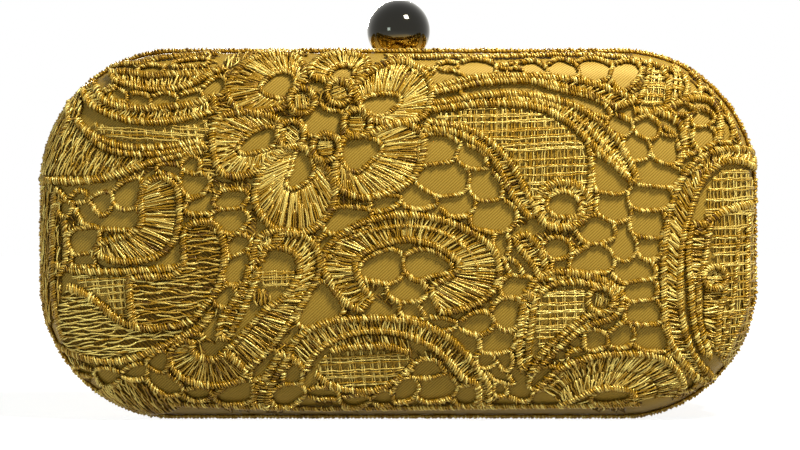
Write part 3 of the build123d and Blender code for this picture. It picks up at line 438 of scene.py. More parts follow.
def unit(vectors):
    """Vectors of length 1."""
    return vectors / np.maximum(np.linalg.norm(vectors, axis=-1, keepdims=True), TINY)


def section(reach):
    """Radius, depth and turn of the face, at a distance along it from a corner's middle."""
    level = np.minimum(reach, CROWN_START)
    crown = np.clip((reach - CROWN_START) / CROWN_RADIUS, 0, CROWN_TURN)
    roll = np.clip((reach - CROWN_END) / EDGE_RADIUS, 0, math.pi / 2 - CROWN_TURN)
    wall = np.clip(reach - ROLL_END, 0, WALL)
    shoulder = np.clip((reach - WALL_END) / SHOULDER_RADIUS, 0, math.pi / 2)
    rolled = CROWN_TURN + roll
    radius = level + CROWN_RADIUS * np.sin(crown)
    radius += EDGE_RADIUS * (np.sin(rolled) - math.sin(CROWN_TURN))
    radius += SHOULDER_RADIUS * (np.cos(shoulder) - 1)
    depth = DEPTH - CROWN_RADIUS * (1 - np.cos(crown)) - wall
    depth -= EDGE_RADIUS * (math.cos(CROWN_TURN) - np.cos(rolled)) + SHOULDER_RADIUS * np.sin(shoulder)
    return radius, depth, crown + roll + shoulder


SECTION_POINTS = 400
SECTION_REACH = np.linspace(0, ROLL_END, SECTION_POINTS)
SECTION_RADIUS, SECTION_DEPTH, _ = section(SECTION_REACH)
# Past the outline, a drawn millimetre runs this far down the side
SIDE_STRETCH = 2.5
# Rounds in which a drawn point's place and depth settle
DEPTH_ROUNDS = 4


def flat(points):
    """Drawn points as flat ones: millimetres from the middle of the face, measured along the lace."""
    drawn = np.asarray(points, float) - (0, HALF_HEIGHT)
    depth = np.full(len(drawn), DEPTH)
    for _ in range(DEPTH_ROUNDS):
        true = EYE + (drawn - EYE) * ((EYE_DISTANCE - depth) / (EYE_DISTANCE - DRAWN_DEPTH))[:, None]
        corner = np.clip(true, -CORE, CORE)
        radius = np.linalg.norm(true - corner, axis=1)
        reach = np.interp(radius, SECTION_RADIUS, SECTION_REACH)
        reach += SIDE_STRETCH * np.maximum(radius - CORNER_RADIUS, 0)
        depth = np.interp(reach, SECTION_REACH, SECTION_DEPTH)
    return corner + unit(true - corner) * reach[:, None]


def on_bag(places):
    """Front-half points and outward normals, in mm, for flat points with a height over the satin."""
    across, up, height = np.moveaxis(np.asarray(places, float), -1, 0)
    corner_x = np.clip(across, -CORE[0], CORE[0])
    corner_z = np.clip(up, -CORE[1], CORE[1])
    reach = np.hypot(across - corner_x, up - corner_z)
    away = np.maximum(reach, TINY)
    out_x, out_z = (across - corner_x) / away, (up - corner_z) / away
    radius, depth, turn = section(reach)
    normal = np.stack((out_x * np.sin(turn), -np.cos(turn), out_z * np.sin(turn)), -1)
    point = np.stack((corner_x + out_x * radius, -depth, HALF_HEIGHT + corner_z + out_z * radius), -1)
    point += normal * (height - SATIN_INSET)[..., None]
    point[..., 2] = np.maximum(point[..., 2], 0)
    return point, normal


def placed(points, rear):
    """Points kept off the table, and turned round onto the rear half if they belong to it."""
    points[..., 2] = np.maximum(points[..., 2], 0)
    if rear:
        points[..., :2] *= -1
    return points


# ---- Flat paths ----

# Points that each stretch between two drawn points is worked out at
SPAN_POINTS = 10
# Points of a smooth path are this far apart
EDGE_STEP = 0.5


def measured(path, closed=False):
    """The path, closed up if it should be, and how far along it each point lies."""
    whole = np.vstack((path, path[:1])) if closed else path
    steps = np.linalg.norm(np.diff(whole[:, :2], axis=0), axis=1)
    return whole, np.concatenate(((0,), np.cumsum(steps)))


def at_stations(path, run, stations):
    """Places at distances along a path."""
    return np.stack([np.interp(stations, run, column) for column in path.T], -1)


def even(path, step, closed=False):
    """The path again, with points about a step apart."""
    whole, run = measured(path, closed)
    count = max(3, round(run[-1] / step) + 1)
    spaced = at_stations(whole, run, np.linspace(0, run[-1], count))
    return spaced[:-1] if closed else spaced


def curve(points, closed=False):
    """Smooth flat path through drawn points."""
    knots = flat(points)
    if closed:
        ends = np.vstack((knots[-1:], knots, knots[:2]))
    else:
        ends = np.vstack((2 * knots[0] - knots[1], knots, 2 * knots[-1] - knots[-2]))
    share = np.linspace(0, 1, SPAN_POINTS, endpoint=False)[:, None]
    before, start, end, after = (ends[first:len(ends) - 3 + first, None] for first in range(4))
    spans = start + 0.5 * share * (end - before) \
        + share ** 2 * (before - 2.5 * start + 2 * end - 0.5 * after) \
        + share ** 3 * (1.5 * start - 1.5 * end + 0.5 * after - 0.5 * before)
    path = spans.reshape(-1, 2)
    if not closed:
        path = np.vstack((path, knots[-1:]))
    return even(path, EDGE_STEP, closed)


def anticlockwise(loop):
    """The loop, turned round if it runs clockwise."""
    ahead = np.roll(loop, -1, axis=0)
    area = np.sum(loop[:, 0] * ahead[:, 1] - loop[:, 1] * ahead[:, 0])
    return loop if area > 0 else loop[::-1]


def outline(points):
    """Smooth closed path through drawn points, anticlockwise."""
    return anticlockwise(curve(points, closed=True))


def directions(path, closed=False):
    """Unit tangents, and unit vectors to their right."""
    if closed:
        along = unit(np.roll(path, -1, axis=0) - np.roll(path, 1, axis=0))
    else:
        along = unit(np.gradient(path, axis=0))
    return along, np.stack((along[:, 1], -along[:, 0]), -1)


def within(points, loop):
    """Which flat points lie inside a loop."""
    start, end = loop, np.roll(loop, -1, axis=0)
    x, y = points[:, :1], points[:, 1:]
    spans = (start[:, 1] > y) != (end[:, 1] > y)
    rise = np.where(end[:, 1] == start[:, 1], TINY, end[:, 1] - start[:, 1])
    crossing = start[:, 0] + (y - start[:, 1]) * (end[:, 0] - start[:, 0]) / rise
    return (np.sum(spans & (x < crossing), axis=1) % 2) == 1


def hatch(loop, slope, spacing, rng, jitter=0.2):
    """Straight lines across a loop, at a slope in degrees: pairs of flat end points."""
    turn = math.radians(slope)
    along = np.array((math.cos(turn), math.sin(turn)))
    side = np.array((-along[1], along[0]))
    x, y = loop @ along, loop @ side
    x_next, y_next = np.roll(x, -1), np.roll(y, -1)
    lines = []
    for level in np.arange(y.min() + 0.5 * spacing, y.max(), spacing):
        level += rng.normal(0, jitter * spacing)
        cut = (y > level) != (y_next > level)
        crossings = np.sort(x[cut] + (level - y[cut]) * (x_next[cut] - x[cut]) / (y_next[cut] - y[cut]))
        for low, high in zip(crossings[::2], crossings[1::2]):
            lines.append((along * low + side * level, along * high + side * level))
    return lines


# ---- Threads ----

# How far the threads stray, as shares of their own measure: a machine guided by hand is never even
THREAD_STRAY = 0.12
WIDTH_STRAY = 0.1
HEIGHT_STRAY = 0.13
LEAN_STRAY = 0.35
STEP_STRAY = 0.12
DOME_STRAY = 0.18
# How far they stray in height, in mm, and in tone, which goes from 0 for shade to 1 for light
LIE_STRAY = 0.05
CORD_TONE_STRAY = 0.2
STITCH_TONE_STRAY = 0.22
TONE = 0.55
# A cord's core: radius as a share of the cord's width, height as a share of the cord's, and tone
CORE_SHARE = 0.34
CORE_LIFT = 0.3
CORE_TONE = 0.42
# Points of a wrap, and how much of a half circle it goes round
WRAP_POINTS = 5
WRAP_ARCH = 0.96
# Height and dome of a band's stitches
BAND_BASE = 0.45
BAND_DOME = 0.4
# Bands wider than this are stitched in two rows, each with this share of a single row's dome
TWO_ROWS = 4.2
ROW_DOME = 0.8
# The rows meet unevenly between these shares of the width, and overlap this share of it each way
ROW_MEETING = (0.3, 0.7)
ROW_STRAY = 0.09
ROW_OVERLAP = 0.1
# The second row, and the stitches that lie across their neighbours, are this much higher
SECOND_ROW_LIFT = 0.12
STRAY_LIFT = 0.25
# One stitch in this many lies across its neighbours
STRAY_STITCH = 4
# Points of a cord's route round a band or the bag are this far apart
ROUTE_STEP = 0.8
# A net's threads: radius, half the gap of a pair, spacing of their points, and heights of the two sets
NET_THREAD = 0.19
NET_PAIR = 0.22
NET_STEP = 0.9
NET_HEIGHTS = (0.75, 0.55)
# How a net's threads stray: in spacing, sideways at each point, up and down in waves, and in tone
NET_JITTER = 0.16
NET_WOBBLE = 0.09
NET_WAVE = 0.16
NET_WAVE_STEP = 1.9
NET_TONES = (0.45, 0.95)
NET_LEAST = 1
# A fill's stitches: shortest and longest, how far they overlap, and what is too short to stitch
FILL_STITCH = (3.6, 6.4)
FILL_OVERLAP = (0.2, 0.9)
FILL_LEAST = 0.4
# Along an edge, stitches are this share of their spacing out of place
EDGE_STRAY = 0.2


def size_of(name):
    """A size that the user may change, in millimetres."""
    return getattr(bpy.context.scene.clutch_sizes, name) / MM


class Threads:
    """Threads of one piece of lace: their middle lines, flat and with a height, radii and tones."""

    def __init__(self, seed):
        self.rng = np.random.default_rng(seed)
        self.batches = {}
        self.wrap = size_of("wrap_thread") / 2
        self.stitch = size_of("stitch_thread") / 2
        self.band_cord = size_of("band_cord")

    def add(self, lines, radius, tone, rise=1.0, sides=4):
        """Adds threads of one number of points. Rise is the section's height over its width."""
        lines = np.asarray(lines, float)
        if lines.ndim == 2:
            lines = lines[None]
        count, points = lines.shape[:2]
        radius = np.asarray(radius, float)
        per_point = radius.size == points and count == 1
        radius = np.broadcast_to(radius.reshape((1, -1) if per_point else (-1, 1)), (count, points))
        tone = np.broadcast_to(np.asarray(tone, float).reshape(-1), (count,))
        self.batches.setdefault((points, sides, rise), []).append((lines, radius, tone))

    def uneven(self, middle, stray, count):
        """A measure for each of a number of threads, about a middle one."""
        return middle * (1 + self.rng.normal(0, stray, count))

    def cord(self, path, width=None, height=0.95, base=0.25, spacing=0.68, lean=0.42, closed=False,
             fineness=1.0):
        """Wrapped cord: a core, and wraps that arch over it. A path's third column is its width."""
        rng = self.rng
        line = even(path, spacing, closed)
        count = len(line)
        widths = line[:, 2] if width is None else np.full(count, width)
        line = line[:, :2]
        along, right = directions(line, closed)
        share = np.linspace(-1, 1, WRAP_POINTS)
        wide = self.uneven(0.5 * widths, WIDTH_STRAY, count)
        tall = self.uneven(height, HEIGHT_STRAY, count)
        slip = self.uneven(lean, LEAN_STRAY, count)
        places = line + along * rng.normal(0, STEP_STRAY * spacing, count)[:, None]
        across = places[:, None] + right[:, None] * (wide[:, None] * share)[..., None]
        across += along[:, None] * (slip[:, None] * share)[..., None]
        heights = base + tall[:, None] * np.sqrt(1 - (WRAP_ARCH * share) ** 2)
        wraps = np.concatenate((across, heights[..., None]), -1)
        radii = self.uneven(self.wrap * fineness, THREAD_STRAY, count)
        self.add(wraps, radii, TONE + rng.normal(0, CORD_TONE_STRAY, count))
        core_line = np.vstack((line, line[:1])) if closed else line
        core = np.column_stack((core_line, np.full(len(core_line), base + CORE_LIFT * height)))
        core_width = np.append(widths, widths[0]) if closed else widths
        self.add(core, CORE_SHARE * core_width, CORE_TONE, rise=0.8, sides=5)

    def heavy_cord(self, path, width, closed=True):
        """Cord round a band or a filled area, which stands higher than the others."""
        self.cord(path, width, height=1.25, base=0.35, spacing=0.72, closed=closed)

    def stitches(self, starts, ends, base=0.5, dome=0.5, bow=0.25, tone=TONE, fineness=1.0, points=6):
        """Straight stitches between two rows of flat points, rounded over the padding."""
        rng = self.rng
        starts, ends = np.asarray(starts, float), np.asarray(ends, float)
        count = len(starts)
        share = np.linspace(0, 1, points)[:, None]
        line = starts[:, None] * (1 - share) + ends[:, None] * share
        along = unit(ends - starts)
        right = np.stack((along[:, 1], -along[:, 0]), -1)
        bend = rng.normal(0, bow, count)[:, None, None] * np.sin(math.pi * share)
        line += right[:, None] * bend
        # the power rounds the stitch's shoulders
        lift = self.uneven(dome, DOME_STRAY, count)[:, None] * np.sin(math.pi * share[:, 0]) ** 0.7
        heights = base + lift + rng.normal(0, LIE_STRAY, (count, points))
        places = np.concatenate((line, heights[..., None]), -1)
        radii = self.uneven(self.stitch * fineness, THREAD_STRAY, count)
        self.add(places, radii, tone + rng.normal(0, STITCH_TONE_STRAY, count))

    def band(self, first, second, edges="ab", spacing=0.78, cord_growth=0.0, closed=False):
        """Satin stitches from one edge to the other, with a cord round them or along the edge named."""
        rng = self.rng
        width = self.band_cord + cord_growth
        longer = max(measured(path, closed)[1][-1] for path in (first, second))
        count = max(4, round(longer / spacing))
        rows = [along_path(path, count, closed, rng) for path in (first, second)]
        if np.linalg.norm(rows[1] - rows[0], axis=1).mean() > TWO_ROWS:
            meet = np.clip(rng.normal(0.5, ROW_STRAY, (count, 1)), *ROW_MEETING)
            middle = rows[0] * (1 - meet) + rows[1] * meet
            overlap = ROW_OVERLAP * (rows[1] - rows[0])
            dome = BAND_DOME * ROW_DOME
            self.stitches(rows[0], middle + overlap, base=BAND_BASE, dome=dome, points=5)
            outer = 0.5 * (rows[1] + np.roll(rows[1], 1, axis=0)) if closed else rows[1]
            self.stitches(middle - overlap, outer, base=BAND_BASE + SECOND_ROW_LIFT, dome=dome, points=5)
        else:
            self.stitches(*rows, base=BAND_BASE, dome=BAND_DOME)
        stray = rng.permutation(count)[:count // STRAY_STITCH]
        shifted = np.clip(stray + rng.integers(-2, 3, len(stray)), 0, count - 1)
        self.stitches(rows[0][stray], rows[1][shifted], base=BAND_BASE + STRAY_LIFT, dome=BAND_DOME,
                      fineness=0.86, tone=0.8)
        if edges == "ab":
            # the cord lies a quarter of its width inside the edge
            rim = anticlockwise(even(np.vstack((first, second[::-1])), ROUTE_STEP, closed=True))
            self.heavy_cord(rim - 0.25 * width * directions(rim, closed=True)[1], width)
        else:
            self.heavy_cord(first if edges == "a" else second, width, closed)

    def net(self, loop, slopes, spacings):
        """Two sets of loose, paired threads over and under each other."""
        rng = self.rng
        for slope, spacing, height in zip(slopes, spacings, NET_HEIGHTS):
            for start, end in hatch(loop, slope, spacing, rng, NET_JITTER):
                length = np.linalg.norm(end - start)
                if length < NET_LEAST:
                    continue
                points = max(4, round(length / NET_STEP))
                share = np.linspace(0, 1, points)[:, None]
                right = unit(np.array((end[1] - start[1], start[0] - end[0])))
                for side in (-1, 1):
                    wobble = np.cumsum(rng.normal(0, NET_WOBBLE, points)) + side * NET_PAIR
                    wobble -= share[:, 0] * (wobble[-1] - side * NET_PAIR)
                    line = start * (1 - share) + end * share + right * wobble[:, None]
                    waves = np.sin(rng.uniform(0, 6) + np.arange(points) * NET_WAVE_STEP)
                    places = np.column_stack((line, height + NET_WAVE * waves))
                    self.add(places, NET_THREAD, rng.uniform(*NET_TONES))

    def fill(self, loop, slope, spacing, tone):
        """Close straight stitches across an area, broken where they are long."""
        rng = self.rng
        starts, ends = [], []
        for start, end in hatch(loop, slope, spacing, rng):
            length = np.linalg.norm(end - start)
            along = (end - start) / max(length, TINY)
            # the edge cuts the first stitch short by up to 2 mm
            place = -rng.uniform(0, 2)
            while place < length - FILL_LEAST:
                run = rng.uniform(*FILL_STITCH)
                starts.append(start + along * max(place, 0))
                ends.append(start + along * min(place + run, length))
                place += run - rng.uniform(*FILL_OVERLAP)
        self.stitches(starts, ends, base=0.55, dome=0.32, bow=0.3, tone=tone)

    def build(self, name, rear=False):
        """One mesh of all the threads, on the front half or turned round onto the rear one."""
        points, loops, starts, tones, uvs = [], [], [], [], []
        offset = corner = 0
        for (length, sides, rise), batch in self.batches.items():
            lines = np.concatenate([part[0] for part in batch])
            radius = np.concatenate([part[1] for part in batch])
            tone = np.concatenate([part[2] for part in batch])
            count = len(lines)
            middle, normal = on_bag(lines)
            along = unit(np.gradient(middle, axis=1))
            side = unit(np.cross(along, normal))
            up = np.cross(side, along)
            turn = np.arange(sides) * 2 * math.pi / sides
            ring = side[:, :, None] * np.cos(turn)[:, None]
            ring = ring + rise * up[:, :, None] * np.sin(turn)[:, None]
            places = placed(middle[:, :, None] + radius[..., None, None] * ring, rear)
            points.append(places.reshape(-1, 3))
            tones.append(np.repeat(tone, length * sides))
            index = offset + np.arange(count * length * sides).reshape(count, length, sides)
            after = np.roll(index, -1, axis=2)
            quads = np.stack((index[:, :-1], index[:, 1:], after[:, 1:], after[:, :-1]), -1)
            run = np.zeros((count, length))
            run[:, 1:] = np.cumsum(np.linalg.norm(np.diff(middle, axis=1), axis=-1), axis=1)
            shape = (count, length - 1, sides)
            low, high = (np.broadcast_to(ends[..., None], shape) for ends in (run[:, :-1], run[:, 1:]))
            near = np.broadcast_to(np.arange(sides) / sides, shape)
            far = near + 1 / sides
            quad_uvs = np.stack((low, near, high, near, high, far, low, far), -1)
            caps = np.concatenate((index[:, 0], index[:, -1, ::-1]))
            loops += [quads.ravel(), caps.ravel()]
            uvs += [quad_uvs.ravel(), np.zeros(caps.size * 2)]
            quad_count = count * (length - 1) * sides
            starts.append(corner + 4 * np.arange(quad_count))
            starts.append(corner + 4 * quad_count + sides * np.arange(2 * count))
            corner += 4 * quad_count + caps.size
            offset += count * length * sides
        return mesh_piece(name, np.concatenate(points), np.concatenate(loops), np.concatenate(starts),
                          np.concatenate(uvs), {"tone": np.clip(np.concatenate(tones), 0, 1)})


def along_path(path, count, closed, rng):
    """A number of places along a path, a little uneven."""
    whole, run = measured(path, closed)
    stations = (np.arange(count) + 0.5 + rng.normal(0, EDGE_STRAY, count)) / count * run[-1]
    return at_stations(whole, run, stations)


def mesh_piece(name, points, corners, starts, uvs, attributes=()):
    """Mesh object at the origin, from points in mm and the corners of its faces."""
    mesh = bpy.data.meshes.new(name)
    mesh.vertices.add(len(points))
    mesh.vertices.foreach_set("co", (np.asarray(points) * MM).astype(np.float32).ravel())
    mesh.loops.add(len(corners))
    mesh.loops.foreach_set("vertex_index", np.asarray(corners, np.int32))
    mesh.polygons.add(len(starts))
    mesh.polygons.foreach_set("loop_start", np.asarray(starts, np.int32))
    mesh.update(calc_edges=True)
    mesh.uv_layers.new(name="UVMap").data.foreach_set("uv", np.asarray(uvs, np.float32))
    for title, values in dict(attributes).items():
        layer = mesh.attributes.new(title, "FLOAT", "POINT")
        layer.data.foreach_set("value", np.asarray(values, np.float32))
    mesh.polygons.foreach_set("use_smooth", np.ones(len(starts), bool))
    mesh.validate()
    piece = bpy.data.objects.new(name, mesh)
    bpy.context.scene.collection.objects.link(piece)
    return piece


# ---- Lace ----

# Pieces that each half's threads are kept in; the bands go to the last four, in their order
BAND_PIECES = ("leaf", "arches", "fans", "scrolls")
LACE_PIECES = ("left_bars", "right_bars", "side_bars", "combs", "nets", "flower", "fills", "side_edge",
               *BAND_PIECES)
LACE_SEEDS = {"front": 100, "rear": 200}
# Neighbouring openings nearer than this share one bar, whose width is this share of the gap
BAR_GAP = 3.2
BAR_SHARE = 0.6
BAR_WIDTHS = (1.0, 1.5)
FINE_BAR = {"height": 0.85, "base": 0.15, "spacing": 0.55, "lean": 0.34, "fineness": 0.85}
# Rounds in which a bar's route is evened out, and the fewest points that a bar or comb has
SMOOTHINGS = 3
SHORTEST_RUN = 4
# Each opening's cord lies this far outside it, and the ground stops this far outside it
CORD_SET = 0.45
GROUND_SET = 0.35
# Under a bar the ground is this wide each way
BAR_GROUND = 0.2
# The cords stand back from the drawn openings by this much
OPENING_GROWTH = 0.2
# A comb's stitches: one at each second point, where they start and end outside an opening, and how far
# their ends stray
COMB_EVERY = 2
COMB_START = 0.3
COMB_LENGTHS = (1.0, 4.0)
COMB_STRAY = 0.15
# Turns of a small circle's points
CIRCLE = np.arange(24) * 2 * math.pi / 24
# A ring's hole and cord, and its net: the angle between the sets of threads and their spacing
RING_HOLE = 2.3
RING_CORD = 1.5
RING_CROSSING = 75
RING_SPACINGS = (1.0, 3.0)
# A petal's stitches start this far outside its eye
PETAL_INSET = 0.9
# Middle line of the row of openings down the side of the bag, and half their length and width
SIDE_REACH = 47.2
SIDE_LONG = (2.6, 3.4)
SIDE_SHORT = (1.7, 2.5)
# How far each is out of place, as a share of the pitch, and how much of its size its bulges take
SIDE_SHIFT = 0.1
SIDE_BULGE = 0.12
SIDE_SEED = 41
# Reach and width of the cords that run all round: at the lace's edge, and where the face turns
RIM_CORDS = ((LACE_END - 1.1, 1.5), (ROLL_END - 1.7, 1.7))
# Their wraps are spaced wide, which keeps the piece light
RIM_WRAPS = 1.02
# Threads of a filled area cross at twice this many degrees, in sets spaced this much wider
FILL_LEAN = 7
FILL_SPREAD = 1.7
# The ground's mesh: spacing of its points, its height over the satin and how near a comb it reaches
GROUND_SPACING = 2.2
GROUND_HEIGHT = 0.42
COMB_REACH = 0.55
# The ground's own points stop this far inside the lace's edge
GROUND_MARGIN = 0.8
# Points nearer than this are one where the ground is cut
SAME_POINT = 1e-5
# Points that are looked at together, which keeps the memory small
BATCH = 500


def rim_point(run, reach):
    """Flat point at a distance round the bag, measured along the side row, and at a reach."""
    width, height = 2 * CORE
    quarter = SIDE_REACH * math.pi / 2
    place = run % (2 * (width + height) + 4 * quarter)
    middle_x, middle_y = -CORE[0], CORE[1]
    for length, heading in ((width, 90), (height, 0), (width, -90), (height, 180)):
        turn = math.radians(heading)
        ahead = np.array((math.sin(turn), -math.cos(turn)))
        if place < length:
            middle = np.array((middle_x, middle_y)) + ahead * place
            return middle + np.array((math.cos(turn), math.sin(turn))) * reach
        middle_x, middle_y = np.array((middle_x, middle_y)) + ahead * length
        place -= length
        if place < quarter:
            turn -= place / SIDE_REACH
            return np.array((middle_x + math.cos(turn) * reach, middle_y + math.sin(turn) * reach))
        place -= quarter
    raise ValueError("past the end of the rim")


RIM_LENGTH = 4 * CORE.sum() + SIDE_REACH * 2 * math.pi


def rim_path(reach, step):
    """Flat path all round the bag at a reach, with its points a step apart."""
    return np.array([rim_point(run, reach) for run in np.arange(0, RIM_LENGTH, step)])


def side_openings():
    """Rounded openings in a row down the side of the bag, uneven as hand-guided machine lace is."""
    rng = np.random.default_rng(SIDE_SEED)
    count = round(RIM_LENGTH / size_of("side_pitch"))
    openings = []
    for number in range(count):
        middle = (number + rng.uniform(-SIDE_SHIFT, SIDE_SHIFT)) * RIM_LENGTH / count
        long, short = rng.uniform(*SIDE_LONG), rng.uniform(*SIDE_SHORT)
        # three low bulges keep it from being a true oval
        shape = 1 + SIDE_BULGE * np.sin(3 * CIRCLE + rng.uniform(0, 6))
        loop = [rim_point(middle + long * share * math.cos(turn),
                          SIDE_REACH + short * share * math.sin(turn))
                for turn, share in zip(CIRCLE, shape)]
        openings.append(anticlockwise(even(np.array(loop), EDGE_STEP, closed=True)))
    return openings


def all_openings():
    """Flat outlines of every opening, anticlockwise: the drawn ones, the petals' and the side's."""
    loops = [outline(points) for points in (*OPENINGS, *(eye for eye, _ in PETALS))]
    drawn = [loop + OPENING_GROWTH * directions(loop, closed=True)[1] for loop in loops]
    return drawn + side_openings()


def smoothed(columns, closed):
    """Columns averaged with their neighbours."""
    if closed:
        return 0.5 * columns + 0.25 * (np.roll(columns, 1, axis=0) + np.roll(columns, -1, axis=0))
    middle = columns.copy()
    middle[1:-1] = 0.5 * columns[1:-1] + 0.25 * (columns[:-2] + columns[2:])
    return middle


def runs_of(chosen):
    """Groups of neighbours round a loop where chosen is true, and whether each is the whole loop."""
    if chosen.all():
        return [(np.arange(len(chosen)), True)]
    first = int(np.argmin(chosen))
    order = (np.arange(len(chosen)) + first) % len(chosen)
    groups, group = [], []
    for number in order:
        if chosen[number]:
            group.append(number)
        elif group:
            groups.append((np.array(group), False))
            group = []
    if group:
        groups.append((np.array(group), False))
    return groups


def edge_work(work, openings, nets, drawn_count):
    """Bars between neighbouring openings, and corded edges with a comb of stitches elsewhere.

    Returns the outlines that the ground is cut back to, and the combs' ends.
    """
    clear, comb_ends = [], []
    combs = work["combs"]
    loops = openings + nets
    samples = np.concatenate(loops)
    owners = np.concatenate([np.full(len(loop), number) for number, loop in enumerate(loops)])
    for number, loop in enumerate(openings):
        if number >= drawn_count:
            bars = work["side_bars"]
        else:
            bars = work["left_bars" if loop[:, 0].mean() < 0 else "right_bars"]
        others = owners != number
        away = np.linalg.norm(loop[:, None] - samples[others], axis=-1)
        nearest = np.argmin(away, axis=1)
        gap = away[np.arange(len(loop)), nearest]
        facing = samples[others][nearest]
        other = owners[others][nearest]
        outward = directions(loop, closed=True)[1]
        shared = (gap < BAR_GAP) & (other < len(openings))
        middles = np.where(shared[:, None], 0.5 * (loop + facing), loop + CORD_SET * outward)
        widths = np.where(shared, np.clip(BAR_SHARE * gap, *BAR_WIDTHS), size_of("edge_cord"))
        path = np.column_stack((middles, widths))
        for _ in range(SMOOTHINGS):
            path = smoothed(path, closed=True)
        for chosen, finish in ((shared & (other > number), FINE_BAR), (~shared, {})):
            for group, whole in runs_of(chosen):
                if not whole:
                    # it runs on at both ends, to meet its neighbours
                    group = np.arange(group[0] - 2, group[0] + len(group) + 2) % len(loop)
                if len(group) >= SHORTEST_RUN:
                    bars.cord(path[group], closed=whole, **finish)
        clear.append(loop + outward * np.where(shared, 0.5 * gap - BAR_GROUND, GROUND_SET)[:, None])
        alone = np.flatnonzero(~shared)
        if len(alone) > SHORTEST_RUN:
            kept = alone[::COMB_EVERY]
            reach = np.clip(0.5 * gap[kept], *COMB_LENGTHS)
            reach *= 1 + COMB_STRAY * combs.rng.normal(0, 1, len(kept))
            starts = loop[kept] + outward[kept] * COMB_START
            ends = loop[kept] + outward[kept] * reach[:, None]
            combs.stitches(starts, ends, base=0.3, dome=0.4, points=5)
            comb_ends.append(np.stack((starts, ends), 1))
    return clear, np.concatenate(comb_ends)


def close_to(points, segments, distance):
    """Which points lie within a distance of any of the segments."""
    start, along = segments[:, 0], segments[:, 1] - segments[:, 0]
    squared = np.maximum((along ** 2).sum(-1), TINY)
    near = np.zeros(len(points), bool)
    for first in range(0, len(points), BATCH):
        away = points[first:first + BATCH, None] - start
        share = np.clip((away * along).sum(-1) / squared, 0, 1)
        gaps = np.linalg.norm(away - share[..., None] * along, axis=-1)
        near[first:first + BATCH] = gaps.min(axis=1) < distance
    return near


def ground_piece(name, solid, clear, combs, rear):
    """The lace's underside: the close stitching under its bands, cut back to the openings."""
    columns = np.arange(-CORE[0] - LACE_END, CORE[0] + LACE_END, GROUND_SPACING)
    rows = np.arange(-CORE[1] - LACE_END, CORE[1] + LACE_END, GROUND_SPACING)
    grid = np.stack(np.meshgrid(columns, rows), -1).reshape(-1, 2)
    reach = np.linalg.norm(grid - np.clip(grid, -CORE, CORE), axis=1)
    places = list(grid[reach < LACE_END - GROUND_MARGIN])
    rims = [rim_path(LACE_END - inset, GROUND_SPACING) for inset in (0, GROUND_SPACING)]
    edges = []
    for loop in rims + [even(loop, GROUND_SPACING / 2, closed=True) for loop in clear + solid]:
        first = len(places)
        places.extend(loop)
        edges += [(first + step, first + (step + 1) % len(loop)) for step in range(len(loop))]
    vectors = [tuple(place) for place in places]
    flat_points, _, faces = delaunay_2d_cdt(vectors, edges, [], 0, SAME_POINT)[:3]
    flat_points = np.array([tuple(point) for point in flat_points])
    faces = np.array(faces)
    middles = flat_points[faces].mean(axis=1)
    kept = within(middles, rims[0])
    worked = close_to(middles, combs, COMB_REACH) | ~within(middles, rims[1])
    for loop in solid:
        worked |= inside_box(middles, loop)
    kept &= worked
    for loop in clear:
        kept &= ~inside_box(middles, loop)
    faces = faces[kept]
    used, faces = np.unique(faces, return_inverse=True)
    flat_points, faces = flat_points[used], faces.reshape(-1, 3)
    points, _ = on_bag(np.column_stack((flat_points, np.full(len(flat_points), GROUND_HEIGHT))))
    corners = flat_points[faces].reshape(-1, 2)
    piece = mesh_piece(name, placed(points, rear), faces.ravel(), 3 * np.arange(len(faces)),
                       corners.ravel())
    return piece, corners.reshape(-1, 3, 2)


def inside_box(points, loop):
    """Which points lie inside a loop, looked at only near it."""
    near = ((points > loop.min(axis=0)) & (points < loop.max(axis=0))).all(axis=1)
    near[near] = within(points[near], loop)
    return near


def from_east(loop):
    """The loop, started at its point that lies most directly to the right of its middle."""
    away = loop - loop.mean(axis=0)
    return np.roll(loop, -int(np.argmin(np.abs(np.arctan2(away[:, 1], away[:, 0])))), axis=0)


def lace_work(openings, nets, seed):
    """One half's lace: its threads by the name of their piece, and what its ground has to cover."""
    work = {name: Threads(seed + number) for number, name in enumerate(LACE_PIECES)}
    clear, combs = edge_work(work, openings, nets, len(OPENINGS) + len(PETALS))
    clear += nets
    solid = []
    for loop, (_, slopes, spacings) in zip(nets, NETS):
        work["nets"].net(loop, slopes, spacings)
    for eye, petal in PETALS:
        inner, outer = (from_east(outline(points)) for points in (eye, petal))
        inner = inner + PETAL_INSET * directions(inner, closed=True)[1]
        work["flower"].band(inner, outer, edges="b", spacing=0.62, cord_growth=0.2, closed=True)
        solid.append(outer)
    circle = np.stack((np.cos(CIRCLE), np.sin(CIRCLE)), -1)
    for middle, radius, slope in RINGS:
        hole, ring = (flat(np.array(middle) + size * circle) for size in (RING_HOLE, radius))
        work["flower"].cord(ring, RING_CORD, height=1.0, base=0.95, closed=True)
        work["flower"].net(hole, (slope, slope + RING_CROSSING), RING_SPACINGS)
        clear.append(hole)
    for number, (first, second, edges) in enumerate(BANDS):
        name = BAND_PIECES[number * len(BAND_PIECES) // len(BANDS)]
        first, second = curve(first), curve(second)
        work[name].band(first, second, edges)
        solid.append(np.vstack((first, second[::-1])))
    for edge, slope, spacing, tone, corded in FILLS:
        loop = outline(edge)
        for lean in (-FILL_LEAN, FILL_LEAN):
            work["fills"].fill(loop, slope + lean, FILL_SPREAD * spacing, tone)
        solid.append(loop)
        if corded:
            work["fills"].heavy_cord(loop, work["fills"].band_cord)
    for route, width in CORDS:
        work["side_bars"].cord(curve(route), width)
    for reach, width in RIM_CORDS:
        rim = rim_path(reach, ROUTE_STEP)
        work["side_edge"].cord(rim, width, height=0.85, spacing=RIM_WRAPS, closed=True)
    return work, solid, clear, combs


